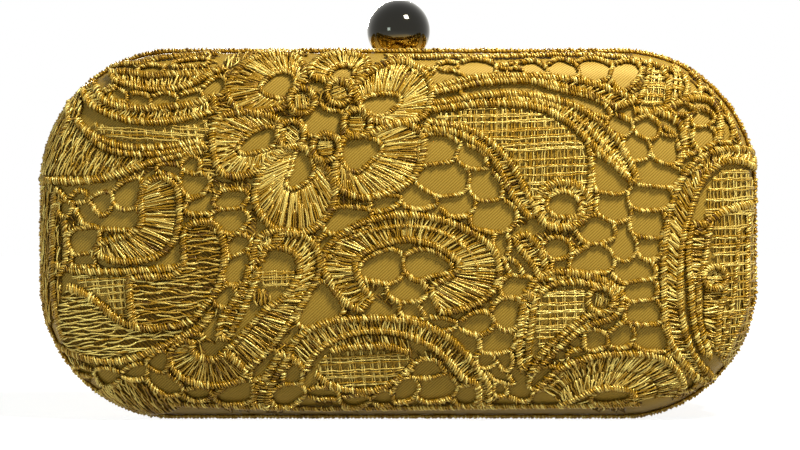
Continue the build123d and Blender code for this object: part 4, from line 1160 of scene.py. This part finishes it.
def pick(piece):
    """Selects one piece and nothing else."""
    bpy.ops.object.select_all(action="DESELECT")
    piece.select_set(True)
    bpy.context.view_layer.objects.active = piece


def solid_sheet(piece, thickness):
    """Gives a one-sided sheet its thickness, on the side that its faces point away from."""
    pick(piece)
    bpy.ops.object.modifier_add(type="SOLIDIFY")
    piece.modifiers[-1].thickness = thickness * MM
    piece.modifiers[-1].offset = -1
    bpy.ops.object.modifier_apply(modifier=piece.modifiers[-1].name)


def make_lace(side):
    """One half's lace: the ground, and the cords, bands and nets worked over it."""
    rear = side == "rear"
    nets = [outline(points) for points, _, _ in NETS]
    work, solid, clear, combs = lace_work(all_openings(), nets, LACE_SEEDS[side])
    ground, triangles = ground_piece(f"{side}_lace_ground", solid, clear, combs, rear)
    solid_sheet(ground, size_of("ground_thickness"))
    threads = [piece.build(f"{side}_lace_{name}", rear) for name, piece in work.items()]
    for piece in (ground, *threads):
        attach(piece, f"{side}_half")
    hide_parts(f"{side}_lace_overlay")
    return ground, threads


# ---- Satin and lining ----

# Inset of the cloth from the lace's face, then inset and depth of its edge in the frame
SATIN_LIE = (SATIN_INSET, 4.3, 1.0)
LINING_LIE = (3.4, 6.8, 1.2)
# Rows of points over the crown, the roll and the shoulder, and round each corner
CROWN_ROWS = 9
ROLL_ROWS = 13
SHOULDER_ROWS = 8
CORNER_POINTS = 15
# The crown's rows start at this reach, and the straight sides' points are about this far apart
CROWN_FIRST = 4
SIDE_STEP = 3
# Radii nearer than this are the same
SLACK = 0.01
# Points nearer than this, in metres, are merged
WELD = 0.00001


def cloth_shell(name, inset, edge_inset, edge_depth, rear, inside):
    """Skin of one half at an inset from the lace's face, down over the shoulder and into the frame.

    Returns the piece, its flat size and its area, in metres.
    """
    edge_radius = CORNER_RADIUS - edge_inset
    shoulder_middle = CORNER_RADIUS - SHOULDER_RADIUS
    turn = math.acos(max(0, edge_radius - shoulder_middle) / (SHOULDER_RADIUS - inset))
    last = WALL_END + SHOULDER_RADIUS * turn
    reaches = np.concatenate(((0.0, CROWN_START), np.linspace(CROWN_FIRST, CROWN_END, CROWN_ROWS),
                              np.linspace(CROWN_END, ROLL_END, ROLL_ROWS)[1:],
                              np.linspace(WALL_END, last, SHOULDER_ROWS)))
    radius, depth, tilt = section(reaches)
    radius, depth = radius - inset * np.sin(tilt), depth - inset * np.cos(tilt)
    radius[0] = 0
    if radius[-1] > edge_radius + SLACK:
        # a ledge runs in from the shoulder's end to the edge
        radius, depth = np.append(radius, edge_radius), np.append(depth, depth[-1])
        reaches = np.append(reaches, reaches[-1] + radius[-2] - radius[-1])
    radius, depth = np.append(radius, edge_radius), np.append(depth, edge_depth)
    reaches = np.append(reaches, reaches[-1] + depth[-2] - depth[-1])
    corners, outs = [], []
    for corner, heading in ((CORE, 0), (CORE * (-1, 1), 90), (-CORE, 180), (CORE * (1, -1), 270)):
        turns = np.radians(heading + np.linspace(0, 90, CORNER_POINTS))
        corners.append(np.broadcast_to(corner, (CORNER_POINTS, 2)))
        outs.append(np.stack((np.cos(turns), np.sin(turns)), -1))
        step = np.array((-math.sin(turns[-1]), math.cos(turns[-1])))
        length = 2 * abs(step @ CORE)
        count = round(length / SIDE_STEP)
        spans = np.arange(1, count) * length / count
        corners.append(corner + spans[:, None] * step)
        outs.append(np.broadcast_to(outs[-1][-1], (len(spans), 2)))
    corners, outs = np.concatenate(corners), np.concatenate(outs)
    around = len(corners)
    plan = corners + radius[:, None, None] * outs
    back = np.broadcast_to(-depth[:, None], plan.shape[:2])
    points = placed(np.stack((plan[..., 0], back, plan[..., 1] + HALF_HEIGHT), -1), rear)
    spread = corners + reaches[:, None, None] * outs
    index = np.arange(len(radius) * around).reshape(len(radius), around)
    after = np.roll(index, -1, axis=1)
    quads = np.stack((index[:-1], index[1:], after[1:], after[:-1]), -1).reshape(-1, 4)
    middle = index[0]
    if inside:
        quads, middle = quads[:, ::-1], middle[::-1]
    loops = np.concatenate((quads.ravel(), middle))
    starts = np.append(4 * np.arange(len(quads)), 4 * len(quads))
    piece = mesh_piece(name, points.reshape(-1, 3), loops, starts, spread.reshape(-1, 2)[loops].ravel())
    area = sum(face.area for face in piece.data.polygons)
    return piece, 2 * (CORE + reaches[-1]) * MM, area


def weld(piece):
    """Merges the doubled points of a piece."""
    pick(piece)
    bpy.ops.object.mode_set(mode="EDIT")
    bpy.ops.mesh.select_all(action="SELECT")
    bpy.ops.mesh.remove_doubles(threshold=WELD)
    bpy.ops.object.mode_set(mode="OBJECT")


def make_cloth(side, name, lie, thickness, inside):
    """Satin or lining of one half, as one sheet of cloth stretched over the shell or laid inside it."""
    piece, size, area = cloth_shell(f"{side}_{name}", *lie, side == "rear", inside)
    weld(piece)
    solid_sheet(piece, thickness)
    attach(piece, f"{side}_half")
    return piece


# ---- Materials ----

# Spacings that the patterns are drawn at, in mm
STRAND_SPACING = 0.9
GROUND_STITCH = 0.8544
SATIN_RIB = 0.6
LINING_THREAD = 0.8055
# Slope of the satin's ribs, in degrees
RIB_SLOPE = 47


def linear(code):
    """Linear colour for an sRGB hex one."""
    values = [int(code[place:place + 2], 16) / 255 for place in (1, 3, 5)]
    return tuple(value / 12.92 if value <= 0.04045 else ((value + 0.055) / 1.055) ** 2.4
                 for value in values) + (1,)


def wave_scale(spacing, diagonal=False):
    """Scale of a wave texture whose bands are this far apart, in the units of its coordinates."""
    return (math.sqrt(2) if diagonal else 1) * math.pi / 10 / spacing


def new_material(name):
    """Empty node material and its tree."""
    material = bpy.data.materials.new(name)
    material.use_nodes = True
    material.node_tree.nodes.clear()
    return material, material.node_tree


def add_node(tree, kind, inputs=(), stops=(), **settings):
    """Adds a node with its settings. Inputs are values or sockets to link, by name or number."""
    node = tree.nodes.new("ShaderNode" + kind)
    for name, value in settings.items():
        setattr(node, name, value)
    for name, value in dict(inputs).items():
        if isinstance(value, bpy.types.NodeSocket):
            tree.links.new(value, node.inputs[name])
        else:
            node.inputs[name].default_value = value
    for number, (place, colour) in enumerate(stops):
        # a new ramp has two stops already
        elements = node.color_ramp.elements
        element = elements[number] if number < 2 else elements.new(place)
        element.position = place
        element.color = linear(colour) if isinstance(colour, str) else colour
    return node


def embroidery_thread():
    """Metallised polyester thread, twisted and shiny: bright along its top, brown between stitches."""
    material, tree = new_material("metallised_polyester_embroidery_thread")
    colours = bpy.context.scene.clutch_colours
    tone = add_node(tree, "Attribute", attribute_name="tone").outputs["Fac"]
    place = add_node(tree, "TexCoord").outputs["Object"]
    patches = add_node(tree, "TexNoise", {"Vector": place, "Scale": 55.0, "Detail": 3.0}).outputs["Fac"]
    # patches of thread lie a little lighter or darker than their own tone
    shifted = add_node(tree, "Math", {0: patches, 1: 0.7, 2: -0.35}, operation="MULTIPLY_ADD")
    mixed = add_node(tree, "Math", {0: tone, 1: shifted.outputs[0]}, operation="ADD").outputs[0]
    colour = add_node(tree, "ValToRGB", {"Fac": mixed}, (
        (0, colours.thread_shade), (0.5, colours.thread_middle), (1, colours.thread_light)))
    lie = add_node(tree, "TexCoord").outputs["UV"]
    # plied strands cross the thread every 0.9 mm, each once round it
    turned = add_node(tree, "Mapping", {"Vector": lie, "Scale": (1 / STRAND_SPACING, 1, 1)}).outputs[0]
    twist = add_node(tree, "TexWave", {"Vector": turned, "Scale": math.pi / 5},
                     bands_direction="DIAGONAL").outputs["Fac"]
    bump = add_node(tree, "Bump", {"Height": twist, "Strength": 0.5, "Distance": 0.00006})
    shader = add_node(tree, "BsdfPrincipled", {
        "Base Color": colour.outputs["Color"], "Metallic": 0.25, "Roughness": 0.28,
        "Specular IOR Level": 0.85, "Specular Tint": linear("#FFEBAA"),
        "Normal": bump.outputs["Normal"]})
    add_node(tree, "OutputMaterial", {"Surface": shader.outputs["BSDF"]})
    return material


def lace_ground():
    """Close underside stitching of the lace: duller than the threads on top, and darker with painted
    shade, as it lies deep between them.
    """
    material, tree = new_material("guipure_lace_ground_stitching_and_painted_shade")
    colours = bpy.context.scene.clutch_colours
    lie = add_node(tree, "TexCoord").outputs["UV"]
    # slanted stitches, drawn coarse enough to show between the threads
    across = add_node(tree, "TexWave", {
        "Vector": lie, "Scale": wave_scale(GROUND_STITCH, diagonal=True), "Distortion": 3.0,
        "Detail": 2.0}, bands_direction="DIAGONAL").outputs["Fac"]
    # painted shade: the whole ground is darker than the thread, and darkest in the gaps between its
    # slanted stitches
    colour = add_node(tree, "ValToRGB", {"Fac": across}, (
        (0, colours.ground_shade), (1, colours.ground_light)))
    bump = add_node(tree, "Bump", {"Height": across, "Strength": 0.8, "Distance": 0.0002})
    shader = add_node(tree, "BsdfPrincipled", {
        "Base Color": colour.outputs["Color"], "Roughness": 0.8, "Specular IOR Level": 0.2,
        "Normal": bump.outputs["Normal"]})
    add_node(tree, "OutputMaterial", {"Surface": shader.outputs["BSDF"]})
    return material


def satin():
    """Woven old-gold satin with a steep twill rib: soft and broad in its shine."""
    material, tree = new_material("old_gold_twill_satin")
    colours = bpy.context.scene.clutch_colours
    lie = add_node(tree, "TexCoord").outputs["UV"]
    slope = (0, 0, math.radians(RIB_SLOPE))
    turned = add_node(tree, "Mapping", {"Vector": lie, "Rotation": slope}).outputs[0]
    ribs = add_node(tree, "TexWave", {
        "Vector": turned, "Scale": wave_scale(SATIN_RIB), "Distortion": 0.5, "Detail": 1.0},
        bands_direction="X").outputs["Fac"]
    # the rib pattern is the weave's own; the darker colour of the grooves between the ribs is painted
    # shade
    colour = add_node(tree, "ValToRGB", {"Fac": ribs}, (
        (0, colours.satin_shade), (1, colours.satin_light)))
    bump = add_node(tree, "Bump", {"Height": ribs, "Strength": 0.4, "Distance": 0.0001})
    shader = add_node(tree, "BsdfPrincipled", {
        "Base Color": colour.outputs["Color"], "Metallic": 0.15, "Roughness": 0.5,
        "Specular IOR Level": 0.4, "Specular Tint": linear("#FFF0C0"),
        "Normal": bump.outputs["Normal"]})
    add_node(tree, "OutputMaterial", {"Surface": shader.outputs["BSDF"]})
    return material


def lining_cloth():
    """Brushed brown-gold lining cloth: matt, with a plain weave drawn coarser than the real one."""
    material, tree = new_material("brushed_lining_cloth")
    colours = bpy.context.scene.clutch_colours
    lie = add_node(tree, "TexCoord").outputs["UV"]
    warp, weft = (add_node(tree, "TexWave", {
        "Vector": lie, "Scale": wave_scale(LINING_THREAD), "Distortion": 0.8, "Detail": 1.0},
        bands_direction=way).outputs["Fac"] for way in ("X", "Y"))
    weave = add_node(tree, "Math", {0: warp, 1: weft}, operation="MULTIPLY").outputs[0]
    # the plain weave is the cloth's own pattern; the darker colour in the gaps between its threads is
    # painted shade
    colour = add_node(tree, "ValToRGB", {"Fac": weave}, (
        (0, colours.lining_shade), (1, colours.lining_light)))
    bump = add_node(tree, "Bump", {"Height": weave, "Strength": 0.5, "Distance": 0.0001})
    shader = add_node(tree, "BsdfPrincipled", {
        "Base Color": colour.outputs["Color"], "Roughness": 0.85, "Sheen Weight": 0.3,
        "Normal": bump.outputs["Normal"]})
    add_node(tree, "OutputMaterial", {"Surface": shader.outputs["BSDF"]})
    return material


def moulded_abs():
    """Moulded black ABS: matt, with the fine spark grain of its tool."""
    material, tree = new_material("moulded_black_abs")
    place = add_node(tree, "TexCoord").outputs["Object"]
    grain = add_node(tree, "TexNoise", {"Vector": place, "Scale": 1800.0, "Detail": 2.0}).outputs["Fac"]
    colour = add_node(tree, "ValToRGB", {"Fac": grain}, ((0.3, "#1B1A18"), (0.7, "#2A2824")))
    bump = add_node(tree, "Bump", {"Height": grain, "Strength": 0.3, "Distance": 0.00005})
    shader = add_node(tree, "BsdfPrincipled", {
        "Base Color": colour.outputs["Color"], "Roughness": 0.55, "Normal": bump.outputs["Normal"]})
    add_node(tree, "OutputMaterial", {"Surface": shader.outputs["BSDF"]})
    return material


def plated_metal(name, dark, light, roughness, scratches):
    """Plated metal: polishing lines and faint tarnish, at a strength that suits how it was finished."""
    material, tree = new_material(name)
    place = add_node(tree, "TexCoord").outputs["Object"]
    drawn = add_node(tree, "Mapping", {"Vector": place, "Scale": (1.0, 12.0, 12.0)}).outputs[0]
    lines = add_node(tree, "TexNoise", {"Vector": drawn, "Scale": 260.0, "Detail": 3.0}).outputs["Fac"]
    tarnish = add_node(tree, "TexNoise", {"Vector": place, "Scale": 70.0, "Detail": 4.0}).outputs["Fac"]
    colour = add_node(tree, "ValToRGB", {"Fac": tarnish}, ((0.3, dark), (0.65, light)))
    rough = add_node(tree, "MapRange", {
        "Value": lines, "To Min": 0.7 * roughness, "To Max": 1.4 * roughness})
    bump = add_node(tree, "Bump", {"Height": lines, "Strength": scratches, "Distance": 0.00002})
    shader = add_node(tree, "BsdfPrincipled", {
        "Base Color": colour.outputs["Color"], "Metallic": 1.0, "Roughness": rough.outputs[0],
        "Normal": bump.outputs["Normal"]})
    add_node(tree, "OutputMaterial", {"Surface": shader.outputs["BSDF"]})
    return material


def black_nickel():
    """Polished black-nickel plate: a dark olive mirror, with a painted reflection of the gold lace low
    down.
    """
    material, tree = new_material("black_nickel_mirror_plate_painted_reflection")
    place = add_node(tree, "TexCoord").outputs["Object"]
    height = add_node(tree, "SeparateXYZ", {0: place}).outputs["Z"]
    top, low = (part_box("ball_knob")[number].z for number in (1, 0))
    level = add_node(tree, "MapRange", {"Value": height, "From Min": low, "From Max": top}).outputs[0]
    clouds = add_node(tree, "TexNoise", {"Vector": place, "Scale": 160.0, "Detail": 3.0}).outputs["Fac"]
    uneven = add_node(tree, "Math", {0: clouds, 1: 0.06, 2: level}, operation="MULTIPLY_ADD").outputs[0]
    # painted reflection: gold and brown low down stand for the gold lace seen in the ball; higher up is
    # the plate's own dark olive
    colour = add_node(tree, "ValToRGB", {"Fac": uneven},
                      ((0.24, "#D8BC70"), (0.34, "#7A6428"), (0.42, "#1C190A"), (1, "#14130A")))
    shader = add_node(tree, "BsdfPrincipled", {
        "Base Color": colour.outputs["Color"], "Metallic": 1.0, "Roughness": 0.1,
        "Coat Weight": 0.6, "Coat Roughness": 0.04, "Coat Tint": linear("#F4F0DC")})
    add_node(tree, "OutputMaterial", {"Surface": shader.outputs["BSDF"]})
    return material


def pale_floor():
    """Matt pale board, which the camera and what is reflected see as white outside the shadow."""
    material, tree = new_material("pale_matt_board")
    rays = add_node(tree, "LightPath").outputs
    seen = add_node(tree, "Math", {0: rays["Is Camera Ray"], 1: rays["Is Glossy Ray"]},
                    operation="MAXIMUM").outputs[0]
    lit = add_node(tree, "BsdfDiffuse", {"Color": linear("#B4B4B0"), "Roughness": 1.0}).outputs[0]
    place = add_node(tree, "TexCoord").outputs["Object"]
    far = add_node(tree, "VectorMath", {0: place}, operation="LENGTH").outputs["Value"]
    # it glows a little less near the bag, which leaves the lit part room to show the shadow
    glow = add_node(tree, "MapRange", {"Value": far, "From Min": 0.25, "From Max": 0.9,
                                       "To Min": 0.9, "To Max": 1.0}).outputs[0]
    glow = add_node(tree, "Emission", {"Color": (1, 1, 1, 1), "Strength": glow}).outputs[0]
    both = add_node(tree, "AddShader", {0: lit, 1: glow}).outputs[0]
    mixed = add_node(tree, "MixShader", {0: seen, 1: lit, 2: both})
    add_node(tree, "OutputMaterial", {"Surface": mixed.outputs[0]})
    return material


# ---- Stage ----

FLOOR_SIZE = 6
# The floor is this far under the bag, so that the two don't share a face
FLOOR_DROP = 0.0002
# The surroundings' strength as light on the bag, and as they are seen
SOFT_STRENGTH = 0.04
SEEN_STRENGTH = 1.0
LENS = 99.6
# Lamps that face the bag's middle: name, place, size, power and tint
LAMPS = (
    ("key_light", (0.15, -0.20, 0.36), 0.08, 3.15, (1.0, 0.97, 0.92)),
    ("fill_light", (-0.50, -0.70, 0.14), 0.15, 0.95, (0.78, 0.96, 1.0)),
    ("rear_light", (-0.10, 0.80, 0.32), 0.26, 8.0, (1.0, 0.98, 0.95)),
)


def make_stage():
    """Pale floor, soft lights, white surroundings and the camera."""
    bpy.ops.object.select_all(action="DESELECT")
    bpy.ops.mesh.primitive_plane_add(size=FLOOR_SIZE, location=(0, 0, -FLOOR_DROP))
    floor = bpy.context.object
    floor.name = "floor"
    floor.data.materials.append(pale_floor())
    world = bpy.data.worlds.new("white_surroundings")
    bpy.context.scene.world = world
    world.use_nodes = True
    tree = world.node_tree
    tree.nodes.clear()
    rays = add_node(tree, "LightPath").outputs
    seen = rays["Is Camera Ray"]
    for kind in ("Is Transmission Ray", "Is Glossy Ray"):
        seen = add_node(tree, "Math", {0: seen, 1: rays[kind]}, operation="MAXIMUM").outputs[0]
    soft, white = (add_node(tree, "Background", {
        "Color": (1, 1, 1, 1), "Strength": strength}).outputs[0]
        for strength in (SOFT_STRENGTH, SEEN_STRENGTH))
    mixed = add_node(tree, "MixShader", {0: seen, 1: soft, 2: white})
    add_node(tree, "OutputWorld", {"Surface": mixed.outputs[0]})
    for name, place, size, power, tint in LAMPS:
        bpy.ops.object.light_add(type="AREA", location=place)
        lamp = bpy.context.object
        lamp.name = name
        lamp.data.size = size
        lamp.data.energy = power
        lamp.data.color = tint
        towards = Vector((0, 0, HALF_HEIGHT * MM)) - lamp.location
        lamp.rotation_euler = towards.to_track_quat("-Z", "Y").to_euler()
    place = (EYE[0] * MM, -EYE_DISTANCE * MM, (EYE[1] + HALF_HEIGHT) * MM)
    bpy.ops.object.camera_add(location=place, rotation=(math.pi / 2, 0, 0))
    camera = bpy.context.object
    camera.data.lens = LENS
    bpy.context.scene.camera = camera
    bpy.context.scene.view_settings.view_transform = "Standard"


# ---- Metals ----

# Plating of each slot: name, darker and lighter colour, roughness, and strength of its polishing lines
METAL_SLOTS = {
    "frame_metal": ("polished_pale_gold_plate", "#B89850", "#E8CF8C", 0.16, 0.2),
    "hinge_metal": ("satin_gold_plate", "#A88844", "#DCC07A", 0.3, 0.4),
    "steel": ("bright_nickel_plated_steel", "#9A968E", "#CFCBC4", 0.2, 0.2),
}


def dress_metals():
    """Gives the metal nodes their plating, and the shells their finish."""
    plating = {slot: plated_metal(*finish) for slot, finish in METAL_SLOTS.items()}
    plating["ball_metal"] = black_nickel()
    plating["shell"] = moulded_abs()
    for part in frame["record"]["subparts"]:
        if part["material_slot"] in plating:
            materials = frame["nodes"][part["node"]].data.materials
            materials.clear()
            materials.append(plating[part["material_slot"]])


# ---- Add-on ----

def length_property(name, description, millimetres):
    """Length that the user may change."""
    return bpy.props.FloatProperty(name=name, description=description, default=millimetres * MM,
                                   min=0.00005, precision=5, unit="LENGTH", subtype="DISTANCE")


def colour_property(name, description, code):
    """Colour that the user may change."""
    return bpy.props.FloatVectorProperty(name=name, description=description, default=linear(code),
                                         size=4, min=0, max=1, subtype="COLOR")


class ClutchSizes(bpy.types.PropertyGroup):
    """Sizes of the lace and cloth."""

    wrap_thread: length_property("Wrapping thread", "Thickness of the thread round the cords", 0.54)
    stitch_thread: length_property("Stitching thread", "Thickness of the thread of bands and fills", 0.44)
    band_cord: length_property("Band cord", "Width of the cords round the bands", 1.9)
    edge_cord: length_property("Edge cord", "Width of the cords round the openings", 1.25)
    side_pitch: length_property("Side pitch", "Distance between the openings down the side", 8.5)
    ground_thickness: length_property("Lace ground", "Thickness of the lace's close underside", 0.28)
    satin_thickness: length_property("Satin", "Thickness of the satin", 0.35)
    lining_thickness: length_property("Lining", "Thickness of the lining on its card", 0.5)


class ClutchColours(bpy.types.PropertyGroup):
    """Colours of the lace and cloth."""

    thread_light: colour_property("Thread, light", "Lightest of the gold threads", "#E8D274")
    thread_middle: colour_property("Thread, middle", "Most of the gold thread", "#9E760C")
    thread_shade: colour_property("Thread, shade", "Darkest of the gold threads", "#4E2E00")
    # the lace ground's two colours hold painted shade: darker than the thread, darkest in the gaps
    # between its stitches
    ground_light: colour_property("Lace ground, light", "Raised stitches of its underside", "#806214")
    ground_shade: colour_property("Lace ground, shade", "Gaps between those stitches", "#4A3203")
    # the satin's rib pattern is its own; its darker groove colour is painted shade
    satin_light: colour_property("Satin, light", "Ribs of the satin", "#9C7F2E")
    satin_shade: colour_property("Satin, shade", "Grooves between the satin's ribs", "#775A10")
    # the lining's weave is its own; its darker gap colour is painted shade
    lining_light: colour_property("Lining, light", "Raised threads of the lining", "#6E5A34")
    lining_shade: colour_property("Lining, shade", "Gaps in the lining's weave", "#4A3A1E")


class CLUTCH_OT_lace(bpy.types.Operator):
    """Works the lace of both halves"""

    bl_idname = "clutch.lace"
    bl_label = "Lace"

    def execute(self, context):
        thread, underside = embroidery_thread(), lace_ground()
        for side in ("front", "rear"):
            ground, threads = make_lace(side)
            ground.data.materials.append(underside)
            for piece in threads:
                piece.data.materials.append(thread)
        return {"FINISHED"}


class CLUTCH_OT_satin(bpy.types.Operator):
    """Stretches the satin over both shells"""

    bl_idname = "clutch.satin"
    bl_label = "Satin covers"

    def execute(self, context):
        cloth = satin()
        for side in ("front", "rear"):
            thickness = size_of("satin_thickness")
            cover = make_cloth(side, "satin", SATIN_LIE, thickness, inside=False)
            cover.data.materials.append(cloth)
            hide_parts(f"{side}_satin_cover")
        return {"FINISHED"}


class CLUTCH_OT_lining(bpy.types.Operator):
    """Lays the lining into both shells"""

    bl_idname = "clutch.lining"
    bl_label = "Linings"

    def execute(self, context):
        cloth = lining_cloth()
        for side in ("front", "rear"):
            thickness = size_of("lining_thickness")
            lining = make_cloth(side, "lining_cloth", LINING_LIE, thickness, inside=True)
            lining.data.materials.append(cloth)
            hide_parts(f"{side}_lining")
        return {"FINISHED"}


class CLUTCH_OT_plating(bpy.types.Operator):
    """Plates the frames, hinges and clasp, and finishes the shells"""

    bl_idname = "clutch.plating"
    bl_label = "Plating and shells"

    def execute(self, context):
        dress_metals()
        return {"FINISHED"}


class CLUTCH_OT_stage(bpy.types.Operator):
    """Sets the floor, lights, surroundings and camera"""

    bl_idname = "clutch.stage"
    bl_label = "Stage"

    def execute(self, context):
        make_stage()
        return {"FINISHED"}


OPERATORS = (CLUTCH_OT_lace, CLUTCH_OT_satin, CLUTCH_OT_lining, CLUTCH_OT_plating, CLUTCH_OT_stage)


class CLUTCH_PT_pieces(bpy.types.Panel):
    """Lists the clutch's pieces, sizes and colours"""

    bl_label = "Lace evening clutch"
    bl_idname = "CLUTCH_PT_pieces"
    bl_space_type = "VIEW_3D"
    bl_region_type = "UI"
    bl_category = "Clutch"

    def draw(self, context):
        for group in (context.scene.clutch_sizes, context.scene.clutch_colours):
            box = self.layout.box()
            for name in type(group).__annotations__:
                box.prop(group, name)
        for operator in OPERATORS:
            self.layout.operator(operator.bl_idname)


CLASSES = (ClutchSizes, ClutchColours, *OPERATORS, CLUTCH_PT_pieces)


def register():
    for each in CLASSES:
        bpy.utils.register_class(each)
    bpy.types.Scene.clutch_sizes = bpy.props.PointerProperty(type=ClutchSizes)
    bpy.types.Scene.clutch_colours = bpy.props.PointerProperty(type=ClutchColours)


def unregister():
    del bpy.types.Scene.clutch_colours
    del bpy.types.Scene.clutch_sizes
    for each in reversed(CLASSES):
        bpy.utils.unregister_class(each)


def main():
    """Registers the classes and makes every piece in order."""
    register()
    bpy.ops.clutch.lace()
    bpy.ops.clutch.satin()
    bpy.ops.clutch.lining()
    bpy.ops.clutch.plating()
    bpy.ops.clutch.stage()


if __name__ == "__main__":
    main()
